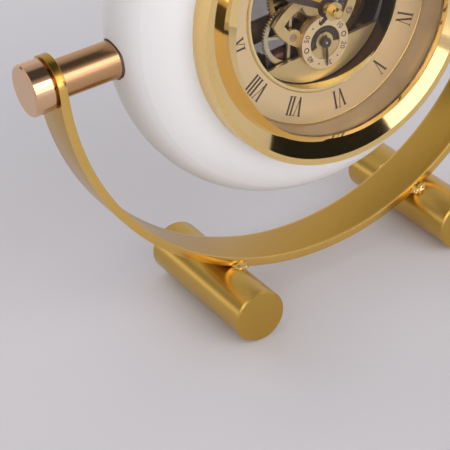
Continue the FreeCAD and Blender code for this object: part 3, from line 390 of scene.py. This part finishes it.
NODE_FINISH = {
    "stand_band": "satin_gold",
    "foot_left": "rod_gold",
    "foot_right": "rod_gold",
    "case_ring": "white",
    "spacers": "tube_gold",
    "spacer_washers": "washer",
    "pivot_studs": "steel",
    "cap_left": "rose_gold",
    "cap_right": "rose_gold",
    "bezel": "bezel",
    "glass": "glass",
    "dial_wall": "wall",
    "chapter_ring": "dial",
    "well_ring": "well",
    "front_plate": "plate",
    "back_plate": "dark_plate",
    "plate_pillars": "polished_gold",
    "dial_pillars": "polished_gold",
    "seconds_dial": "dial",
    "centre_wheel": "wheel_brass",
    "centre_arbor": "steel",
    "cannon_pinion": "wheel_brass",
    "third_wheel": "pale_brass",
    "third_arbor": "steel",
    "seconds_arbor": "steel",
    "seconds_wheel": "nylon",
    "motion_wheel": "pale_brass",
    "motion_post": "steel",
    "hour_wheel": "wheel_brass",
    "setting_arbor": "steel",
    "setting_knob": "rose_gold",
    "hour_hand": "ink",
    "minute_hand": "ink",
    "minute_collet": "plate",
    "hand_nut": "polished_gold",
    "seconds_hand": "ink",
    "drive_block": "dark",
    "coil_former": "dark",
    "drive_coil": "copper",
    "cell_holder": "dark",
    "cell": "cell",
    "cell_contacts": "chrome",
    "back_ring": "satin_gold",
    "back_cover": "cover",
}


def dress_nodes():
    for name, thing in frame["nodes"].items():
        finish = FINISH[NODE_FINISH[name]]
        for slot in thing.material_slots:
            slot.material = finish


# Meshes
def new_piece(name, mesh, body, finish):
    """Put a finished mesh in the scene as a piece that rides on a body."""
    thing = bpy.data.objects.new(name, mesh)
    bpy.context.scene.collection.objects.link(thing)
    mesh.materials.append(FINISH[finish])
    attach(thing, body)
    return thing


def from_bmesh(name, shape, place, smooth):
    bmesh.ops.recalc_face_normals(shape, faces=shape.faces)
    shape.transform(place)
    mesh = bpy.data.meshes.new(name)
    shape.to_mesh(mesh)
    shape.free()
    if smooth:
        mesh.polygons.foreach_set("use_smooth", [True] * len(mesh.polygons))
    return mesh


def dial_piece(name, shape, finish, smooth=False):
    """A piece of the head, from a shape in the dial's own frame."""
    new_piece(name, from_bmesh(name, shape, DIAL, smooth), "head", finish)


def dial_point(x, depth, z):
    return Vector((x * MM, depth * MM, z * MM))


def lathe(profile, steps, centre=(0.0, 0.0)):
    """A closed solid of revolution from (radius, depth) points in millimetres."""
    shape = bmesh.new()
    rings = []
    for step in range(steps):
        angle = 2 * math.pi * step / steps
        rings.append([shape.verts.new(dial_point(r * math.cos(angle), d, r * math.sin(angle)))
                      for r, d in profile])
    for step, ring in enumerate(rings):
        after = rings[(step + 1) % steps]
        for index in range(len(profile)):
            nxt = (index + 1) % len(profile)
            shape.faces.new((ring[index], ring[nxt], after[nxt], after[index]))
    bmesh.ops.remove_doubles(shape, verts=shape.verts, dist=1e-7)
    bmesh.ops.translate(shape, verts=shape.verts, vec=dial_point(centre[0], 0.0, centre[1]))
    return shape


def extrude_outlines(outlines, front, back):
    """Flat plates from closed outlines of (x, z) points, between two depths."""
    shape = bmesh.new()
    for outline in outlines:
        near = [shape.verts.new(dial_point(x, front, z)) for x, z in outline]
        far = [shape.verts.new(dial_point(x, back, z)) for x, z in outline]
        shape.faces.new(near)
        shape.faces.new(list(reversed(far)))
        for index in range(len(outline)):
            nxt = (index + 1) % len(outline)
            shape.faces.new((near[index], near[nxt], far[nxt], far[index]))
    return shape


def pierced_plate(outer, hole, front, back):
    """A flat plate between an outline and a hole with the same number of points."""
    shape = bmesh.new()
    loops = [[shape.verts.new(dial_point(x, depth, z)) for x, z in outline]
             for depth, outline in ((front, outer), (front, hole), (back, hole), (back, outer))]
    for index in range(len(outer)):
        nxt = (index + 1) % len(outer)
        for one, two in zip(loops, loops[1:] + loops[:1]):
            shape.faces.new((one[index], one[nxt], two[nxt], two[index]))
    return shape


def around(centre, radius, clock_angle):
    """The point on a circle at a clockwise angle in degrees from twelve."""
    angle = math.radians(clock_angle)
    return centre[0] + radius * math.sin(angle), centre[1] + radius * math.cos(angle)


def disc_outline(centre, radius, steps):
    return [(centre[0] + radius * math.cos(2 * math.pi * k / steps),
             centre[1] + radius * math.sin(2 * math.pi * k / steps)) for k in range(steps)]


# Numerals of the chapter ring, in millimetres
NUMERALS = ("XII", "I", "II", "III", "IV", "V", "VI", "VII", "VIII", "IX", "X", "XI")
NUMERAL_CIRCLE = 36.25
NUMERAL_HALF_HEIGHT = 3.55
INK_PROUD = 0.06
THICK = 0.72
THIN = 0.26
SERIF = 0.24
SERIF_OF_I = 0.62
SERIF_OF_THICK = 0.6
SERIF_OF_THIN = 0.5
LEG_SPREAD = 1.15
FOOT_OF_V = 0.1
GLYPH_WIDTH = {"I": 1.45, "V": 3.7, "X": 3.5}


def stroke(x_low, x_high, width):
    """A straight stroke over the numeral's whole height, upright or slanted."""
    half = width / 2
    low, high = -NUMERAL_HALF_HEIGHT, NUMERAL_HALF_HEIGHT
    return [(x_low - half, low), (x_low + half, low), (x_high + half, high), (x_high - half, high)]


def serif(x, z, half):
    return [(x - half, z - SERIF / 2), (x + half, z - SERIF / 2), (x + half, z + SERIF / 2),
            (x - half, z + SERIF / 2)]


def glyph(letter, middle):
    """The strokes of one letter of a Roman numeral, upright about x = middle."""
    top = NUMERAL_HALF_HEIGHT - SERIF / 2
    left, right = middle - LEG_SPREAD, middle + LEG_SPREAD
    if letter == "I":
        return [stroke(middle, middle, THICK), serif(middle, top, SERIF_OF_I),
                serif(middle, -top, SERIF_OF_I)]
    if letter == "V":
        return [stroke(middle + FOOT_OF_V, left, THICK), stroke(middle, right, THIN),
                serif(left, top, SERIF_OF_I), serif(right, top, SERIF_OF_THIN)]
    return [stroke(right, left, THICK), stroke(left, right, THIN),
            serif(left, top, SERIF_OF_THICK), serif(right, top, SERIF_OF_THIN),
            serif(left, -top, SERIF_OF_THIN), serif(right, -top, SERIF_OF_THICK)]


def make_numerals():
    """Twelve Roman numerals, upright from the centre, each a thin printed layer on the ring."""
    for hour, word in enumerate(NUMERALS):
        left = -sum(GLYPH_WIDTH[letter] for letter in word) / 2
        outlines = []
        for letter in word:
            outlines += glyph(letter, left + GLYPH_WIDTH[letter] / 2)
            left += GLYPH_WIDTH[letter]
        angle = -2 * math.pi * hour / 12
        turned = [[(x * math.cos(angle) - (z + NUMERAL_CIRCLE) * math.sin(angle),
                    x * math.sin(angle) + (z + NUMERAL_CIRCLE) * math.cos(angle)) for x, z in line]
                  for line in outlines]
        shape = extrude_outlines(turned, CHAPTER_FACE - INK_PROUD, CHAPTER_FACE)
        dial_piece(f"numeral_{hour or 12}", shape, "ink")


BEAD_RADIUS = {"trim_outer": 42.65, "trim_inner": 30.9}
BEAD_HALF_FOOT = 0.28
BEAD_HALF_TOP = 0.16
BEAD_HEIGHT = 0.22
BEAD_STEPS = 180


def make_trims():
    """Fine bright beads round the outer and inner edges of the chapter ring."""
    for name, radius in BEAD_RADIUS.items():
        profile = [(radius - BEAD_HALF_FOOT, CHAPTER_FACE),
                   (radius - BEAD_HALF_TOP, CHAPTER_FACE - BEAD_HEIGHT),
                   (radius + BEAD_HALF_TOP, CHAPTER_FACE - BEAD_HEIGHT),
                   (radius + BEAD_HALF_FOOT, CHAPTER_FACE)]
        dial_piece(name, lathe(profile, BEAD_STEPS), "polished_gold", smooth=True)


# The seconds dial, in millimetres and degrees
SECONDS_CENTRE = (0.0, -15.0)
SECONDS_MARK_CIRCLE = 7.9
DIGIT_HEIGHT = 2.1
FONT_SIZE_SHARE = 1.35
CURVE_STEPS = 3
DOT_ANGLES = (30.0, 150.0, 210.0, 330.0)
DOT_RADIUS = 0.3
DOT_STEPS = 12
RING_ANGLES = (90.0, 270.0)
RING_OUTER = 1.05
RING_INNER = 0.7
RING_STEPS = 24
OPENING_SWEEP = 210.0
OPENING_INNER = 3.5
OPENING_OUTER = 6.05
OPENING_HOLE = 0.95
OPENING_STEP = 5.0
OPENING_SINK = 1.0
OPENING_FOOT = 1.1
FLOOR_SINK = 0.35


def number_mesh(number):
    """The figures of a number as a thin solid, flat in the XY plane about the origin."""
    text = bpy.data.curves.new(f"second_{number}", "FONT")
    text.body = str(number)
    text.size = DIGIT_HEIGHT * MM * FONT_SIZE_SHARE
    text.align_x = "CENTER"
    text.align_y = "CENTER"
    text.extrude = INK_PROUD * MM / 2
    text.resolution_u = CURVE_STEPS
    thing = bpy.data.objects.new(f"second_{number}_text", text)
    bpy.context.scene.collection.objects.link(thing)
    graph = bpy.context.evaluated_depsgraph_get()
    mesh = bpy.data.meshes.new_from_object(thing.evaluated_get(graph))
    bpy.data.objects.remove(thing)
    return mesh


def make_seconds_marks():
    """Numbers from 10 to 60, each upright from the dial's centre, and dots between some."""
    for index in range(6):
        number = 10 * (index + 1)
        clock_angle = 60.0 * (index + 1)
        mesh = number_mesh(number)
        x, z = around(SECONDS_CENTRE, SECONDS_MARK_CIRCLE, clock_angle)
        stand = Matrix.Translation(dial_point(x, SECONDS_FACE - INK_PROUD / 2, z))
        facing = (Matrix.Rotation(math.radians(clock_angle), 4, "Y")
                  @ Matrix.Rotation(math.pi / 2, 4, "X"))
        mesh.transform(DIAL @ stand @ facing)
        new_piece(f"second_{number}", mesh, "head", "ink")
    dots = [disc_outline(around(SECONDS_CENTRE, SECONDS_MARK_CIRCLE, angle), DOT_RADIUS, DOT_STEPS)
            for angle in DOT_ANGLES]
    shape = extrude_outlines(dots, SECONDS_FACE - INK_PROUD, SECONDS_FACE)
    dial_piece("seconds_dots", shape, "ink")


def arc(radius, first, sweep):
    """Points of an arc about the centre of the seconds dial, clockwise."""
    steps = round(sweep / OPENING_STEP)
    return [around(SECONDS_CENTRE, radius, first + sweep * k / steps) for k in range(steps + 1)]


def make_seconds_middle():
    """A low floor with a dark C-shaped opening round its middle, and the two small ring marks."""
    half = OPENING_SWEEP / 2
    inner = arc(OPENING_INNER, -half, OPENING_SWEEP)
    lining = arc(OPENING_OUTER, -half, OPENING_SWEEP) + list(reversed(inner))
    shape = extrude_outlines([lining], SECONDS_FACE + OPENING_SINK, PLATE_FACE + OPENING_FOOT)
    dial_piece("seconds_opening", shape, "dark")
    floor = inner + arc(OPENING_OUTER, half, 360.0 - OPENING_SWEEP)
    hole = [around(SECONDS_CENTRE, OPENING_HOLE, -half + 360.0 * k / len(floor))
            for k in range(len(floor))]
    shape = pierced_plate(floor, hole, SECONDS_FACE + FLOOR_SINK, PLATE_FACE)
    dial_piece("seconds_floor", shape, "plate")
    for clock_angle in RING_ANGLES:
        spot = around(SECONDS_CENTRE, SECONDS_MARK_CIRCLE, clock_angle)
        shape = pierced_plate(disc_outline(spot, RING_OUTER, RING_STEPS),
                              disc_outline(spot, RING_INNER, RING_STEPS),
                              SECONDS_FACE - INK_PROUD, SECONDS_FACE)
        dial_piece(f"seconds_ring_{clock_angle:.0f}", shape, "ink")


# Jewels and screws of the plates, in millimetres and degrees
JEWEL_INNER = 0.62
JEWEL_OUTER = 1.45
JEWEL_BEVEL = 0.2
JEWEL_INNER_RISE = 0.12
JEWEL_DOME_RISE = 0.16
JEWEL_OUTER_RISE = 0.05
JEWEL_STEPS = 36
SCREW_RADIUS = 1.9
SCREW_HEIGHT = 0.8
SCREW_EDGE_SHARE = 0.55
SCREW_TOP_SHARE = 0.8
SCREW_STEPS = 28
SLOT_HALF_SHARE = 0.14
SLOT_DEPTH_SHARE = 0.35
SLOT_PROUD = 0.02
SCREW_X = 12.5
FRONT_SCREW_Z = 25.0
BACK_SCREW_Z = 27.5
FRONT_SLOT_ANGLE = 30.0
BACK_SLOT_ANGLE = 55.0


def make_jewel(name, centre):
    """A brown jewel ring round a pivot of the front plate, domed a little at its outer edge."""
    profile = [(JEWEL_INNER, PLATE_FACE),
               (JEWEL_INNER, PLATE_FACE - JEWEL_INNER_RISE),
               (JEWEL_OUTER - JEWEL_BEVEL, PLATE_FACE - JEWEL_DOME_RISE),
               (JEWEL_OUTER, PLATE_FACE - JEWEL_OUTER_RISE),
               (JEWEL_OUTER, PLATE_FACE)]
    dial_piece(name, lathe(profile, JEWEL_STEPS, centre), "jewel", smooth=True)


def make_screw(name, x, depth, z, clock_angle, outward):
    """A chromed head with a dark slot. outward is -1 on a front face and 1 on a back one."""
    top = depth + outward * SCREW_HEIGHT
    edge = depth + outward * SCREW_HEIGHT * SCREW_EDGE_SHARE
    reach = SCREW_RADIUS * SCREW_TOP_SHARE
    profile = [(0.0, depth), (SCREW_RADIUS, depth), (SCREW_RADIUS, edge), (reach, top), (0.0, top)]
    dial_piece(name, lathe(profile, SCREW_STEPS, (x, z)), "chrome", smooth=True)
    angle = math.radians(clock_angle)
    cos, sin = math.cos(angle), math.sin(angle)
    half = SCREW_RADIUS * SLOT_HALF_SHARE
    line = [(x + along * cos - side * sin, z + along * sin + side * cos)
            for along, side in ((-reach, -half), (reach, -half), (reach, half), (-reach, half))]
    floor = top - outward * SCREW_HEIGHT * SLOT_DEPTH_SHARE
    shape = extrude_outlines([line], top + outward * SLOT_PROUD, floor)
    dial_piece(name + "_slot", shape, "ink")


def make_fittings():
    """Jewels at two pivots of the front plate, and screws on both plates."""
    for work in ("third", "setting"):
        spot = DIAL.inverted() @ Vector(JOINTS[f"{work}_turn"]["pos_m"])
        make_jewel(f"jewel_{work}", (spot.x / MM, spot.z / MM))
    for side in (-1, 1):
        make_screw(f"plate_screw_{side + 1}", side * SCREW_X, PLATE_FACE, FRONT_SCREW_Z,
                   FRONT_SLOT_ANGLE * side, outward=-1)
        for height in (-1, 1):
            make_screw(f"back_screw_{side + 1}_{height + 1}", side * SCREW_X, BACK_PLATE_BACK,
                       height * BACK_SCREW_Z, BACK_SLOT_ANGLE * side, outward=1)


# The band, with the softly rounded edges of rolled flat bar
BAND_EDGE = 1.3
BAND_EDGE_STEPS = 4
SHARP = math.radians(40)
FLAT = math.radians(0.5)


def make_band():
    """A copy of the band's solid with rounded edges, which takes the place of the plain one."""
    source = frame["nodes"]["stand_band"]
    shape = bmesh.new()
    shape.from_mesh(source.data)
    shape.transform(source.matrix_world)
    bmesh.ops.remove_doubles(shape, verts=shape.verts, dist=1e-6)
    bmesh.ops.dissolve_limit(shape, angle_limit=FLAT, verts=shape.verts, edges=shape.edges)
    sharp = [edge for edge in shape.edges if edge.calc_face_angle(0.0) > SHARP]
    bmesh.ops.bevel(shape, geom=sharp, offset=BAND_EDGE * MM, offset_type="OFFSET",
                    segments=BAND_EDGE_STEPS, profile=0.5, affect="EDGES", clamp_overlap=True)
    mesh = from_bmesh("band", shape, Matrix.Identity(4), smooth=True)
    mesh.set_sharp_from_angle(angle=SHARP)
    band = new_piece("band", mesh, "stand", "band")
    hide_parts("stand_band")


# Weld beads, in millimetres
WELD_SIZE = (4.3, 2.0, 1.6)
WELD_OUT = 0.7
WELD_SINK = 0.3
LUMP_SCALE = 2.6
LUMP_SHARE = 0.30
RIPPLE_SCALE = 11.0
RIPPLE_SHARE = 0.10

# These only give each bead lumps of its own
SEED_PER_SIDE = 3.7
SEED_PER_METRE = 900


def make_weld_bead(name, centre, seed):
    """A lumpy bead of weld laid in the corner between band and foot."""
    shape = bmesh.new()
    bmesh.ops.create_icosphere(shape, subdivisions=4, radius=1.0)
    for vert in shape.verts:
        lump = noise.noise(vert.co * LUMP_SCALE + Vector((seed, 0.0, 0.0)))
        ripple = math.sin(vert.co.x * RIPPLE_SCALE + seed) * RIPPLE_SHARE
        vert.co *= 1.0 + LUMP_SHARE * lump + ripple
    bmesh.ops.scale(shape, verts=shape.verts, vec=Vector([size * MM for size in WELD_SIZE]))
    mesh = from_bmesh(name, shape, Matrix.Translation(centre), smooth=True)
    new_piece(name, mesh, "stand", "polished_gold")


def make_weld_beads():
    """A bead at the front and the back of each foot, where the band touches it."""
    band_low, band_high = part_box("stand_band")
    outer = (band_high[0] - band_low[0]) / 2
    for side, foot in ((-1, "foot_left"), (1, "foot_right")):
        low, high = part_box(foot)
        middle = (low[0] + high[0]) / 2
        radius = (high[2] - low[2]) / 2
        lean = math.asin(abs(middle) / (outer + radius))
        x = middle - side * radius * math.sin(lean)
        z = radius + radius * math.cos(lean) - WELD_SINK * MM
        for edge, y, outward in (("front", band_low[1], -1), ("back", band_high[1], 1)):
            centre = Vector((x, y + outward * WELD_OUT * MM, z))
            seed = side * SEED_PER_SIDE + y * SEED_PER_METRE
            make_weld_bead(f"weld_{foot[5:]}_{edge}", centre, seed)


# The camera, fitted to the photograph: millimetres, degrees, and pixels of a 450 pixel frame
CAMERA_PLACE = (-278.813, -456.993, 361.221)
CAMERA_YAW = 27.67
CAMERA_PITCH = -32.588
CAMERA_ROLL = -7.417
FOCAL_PIXELS = 1672.34
FRAME_PIXELS = 450
SENSOR_WIDTH = 36.0


def make_camera():
    yaw = math.radians(CAMERA_YAW)
    pitch = math.radians(CAMERA_PITCH)
    roll = math.radians(CAMERA_ROLL)
    forward = Vector((math.sin(yaw) * math.cos(pitch), math.cos(yaw) * math.cos(pitch),
                      math.sin(pitch)))
    right = forward.cross(Vector((0, 0, 1))).normalized()
    up = right.cross(forward)
    across = math.cos(roll) * right + math.sin(roll) * up
    above = math.cos(roll) * up - math.sin(roll) * right
    lens = bpy.data.cameras.new("camera")
    lens.sensor_width = SENSOR_WIDTH
    lens.lens = FOCAL_PIXELS / FRAME_PIXELS * SENSOR_WIDTH
    lens.clip_start = 0.01
    lens.clip_end = 50.0
    camera = bpy.data.objects.new("camera", lens)
    turn = Matrix((across, above, -forward)).transposed().to_4x4()
    camera.matrix_world = Matrix.Translation(Vector(CAMERA_PLACE) * MM) @ turn
    bpy.context.scene.collection.objects.link(camera)
    bpy.context.scene.camera = camera


# The stage, in metres
FLOOR_HALF = 3.0

# Black cards, each a unit square stretched: centre, size, and whether it stands upright
CARD_HALF = 0.5
CARDS = {
    "floor_card": ((-0.48, -0.95, 0.002), (0.84, 1.0), False),
    "side_card": ((0.58, -0.65, 0.13), (0.74, 0.24), True),
}


def stage_sheet(name, half, segments, place, finish):
    """A flat square that belongs to the studio and not to the clock."""
    shape = bmesh.new()
    bmesh.ops.create_grid(shape, x_segments=segments, y_segments=segments, size=half)
    mesh = from_bmesh(name, shape, place, smooth=False)
    mesh.materials.append(finish)
    sheet = bpy.data.objects.new(name, mesh)
    bpy.context.scene.collection.objects.link(sheet)
    return sheet


def make_floor():
    paint = Paint("floor_paper")
    tone = paint.spots(scale=2.2)
    fibre = paint.spots(scale=300.0)
    finish = paint.surface(
        Base_Color=paint.mix(tone, tint(212, 210, 214), tint(217, 214, 216)),
        Roughness=0.62 + fibre.sway(0.1),
        Specular_IOR_Level=0.35,
    )
    floor = stage_sheet("floor", FLOOR_HALF, 2, Matrix.Identity(4), finish)


def make_cards():
    """Black cards in front, which only the metal mirrors, for its dark reflections."""
    for name, (centre, size, upright) in CARDS.items():
        paint = Paint(f"{name}_black")
        nap = paint.spots(scale=200.0)
        finish = paint.surface(Base_Color=paint.mix(nap, tint(8, 8, 8), tint(14, 13, 13)),
                               Roughness=0.9)
        turn = Matrix.Rotation(math.pi / 2 if upright else 0.0, 4, "X")
        stretch = Matrix.Diagonal((size[0], size[1], 1.0, 1.0))
        place = Matrix.Translation(centre) @ turn @ stretch
        card = stage_sheet(name, CARD_HALF, 1, place, finish)
        card.visible_camera = False
        card.visible_diffuse = False
        card.visible_shadow = False


# What the metal mirrors. A box of directions is its middle and its half widths, sideways and
# upwards, as slopes from straight ahead of the clock or straight behind it, and its edges' blur.
SOFT_BOX = ((-0.20, 0.38), (0.70, 0.48), 0.05)
UPPER_BOX = ((0.72, 0.58), (0.42, 0.28), 0.06)
REAR_BOX = ((-0.75, 0.06), (0.35, 0.15), 0.1)
DUSK_BOX = ((-0.74, 0.44), (0.28, 0.20), 0.1)

# Edges between directions, each with its blur, and how much light each part gives or takes
FRONT_EDGE = (-0.15, 0.1)
BACK_EDGE = (0.15, 0.1)
CEILING_EDGE = (0.72, 0.25)
CEILING_FADE = (0.25, 0.2)
CEILING_FADED = 0.6
LEAST_DEPTH = 0.05
WALL_GLOW = 0.8
CEILING_LOSS = 0.71
DUSK_LOSS = 0.5
SOFT_GLOW = 1.6
UPPER_GLOW = 1.4
REAR_GLOW = 0.8


def box_of_light(way, middles, halves, blur):
    """1 inside a rectangle of directions and 0 outside it."""
    shares = []
    for slope, middle, half in zip(way, middles, halves):
        low = slope.above(middle - half, blur)
        high = 1.0 - slope.above(middle + half, blur)
        shares.append(low * high)
    return shares[0] * shares[1]


def make_world():
    """A studio: pale walls, a darker ceiling, two soft boxes in front, and behind the clock
    a low soft box with a dim patch above it."""
    world = bpy.data.worlds.new("studio")
    bpy.context.scene.world = world
    paint = Paint("studio", world)
    toward = paint.node("ShaderNodeTexCoord", {}, out="Generated")
    right, depth, height = (paint.node("ShaderNodeSeparateXYZ", {}, toward, out=axis)
                            for axis in ("X", "Y", "Z"))
    front = 1.0 - depth.above(*FRONT_EDGE)
    ahead = (0.0 - depth).at_least(LEAST_DEPTH)
    ahead_way = (right / ahead, height / ahead)
    soft = box_of_light(ahead_way, *SOFT_BOX) * front
    upper = box_of_light(ahead_way, *UPPER_BOX) * front
    back = depth.above(*BACK_EDGE)
    behind = depth.at_least(LEAST_DEPTH)
    behind_way = (right / behind, height / behind)
    rear = box_of_light(behind_way, *REAR_BOX) * back
    dusk = box_of_light(behind_way, *DUSK_BOX) * back
    ceiling = height.above(*CEILING_EDGE) * (1.0 - depth.above(*CEILING_FADE) * CEILING_FADED)
    glow = (WALL_GLOW - ceiling * CEILING_LOSS - dusk * DUSK_LOSS + soft * SOFT_GLOW
            + upper * UPPER_GLOW + rear * REAR_GLOW)
    mirrored = paint.node("ShaderNodeBackground", {}, Color=tint(236, 234, 238), Strength=glow)
    backdrop = paint.node("ShaderNodeBackground", {}, Color=tint(196, 193, 196), Strength=1.0)
    seen = paint.node("ShaderNodeLightPath", {}, out="Is Camera Ray")
    paint.finish(paint.node("ShaderNodeMixShader", {}, seen, mirrored, backdrop))


# Lamps: place, target, size in metres, and watts
LAMPS = {
    "front_low": ((0.1, -1.1, 0.2), (0.05, 0.0, 0.05), (0.9, 0.35), 3.1),
    "key": ((0.3, -1.0, 1.0), (0.0, 0.0, 0.0), (1.2, 0.9), 3.2),
    "overhead": ((-0.1, 0.1, 1.3), (0.0, 0.0, 0.0), (1.4, 1.2), 2.4),
    "back_fill": ((-0.2, 1.6, 0.45), (0.0, 0.0, 0.0), (1.6, 0.6), 12.0),
}


def make_lamps():
    """Soft boxes that light the scene but aren't mirrored in the polished metal."""
    for name, (place, target, size, watts) in LAMPS.items():
        light = bpy.data.lights.new(name, "AREA")
        light.shape = "RECTANGLE"
        light.size, light.size_y = size
        light.energy = watts
        lamp = bpy.data.objects.new(name, light)
        aim = (Vector(target) - Vector(place)).to_track_quat("-Z", "Y")
        lamp.matrix_world = Matrix.Translation(Vector(place)) @ aim.to_matrix().to_4x4()
        lamp.visible_glossy = False
        bpy.context.scene.collection.objects.link(lamp)


dress_nodes()
make_numerals()
make_trims()
make_seconds_marks()
make_seconds_middle()
make_fittings()
make_band()
make_weld_beads()
make_camera()
make_floor()
make_cards()
make_world()
make_lamps()
bpy.context.scene.view_settings.view_transform = "Standard"
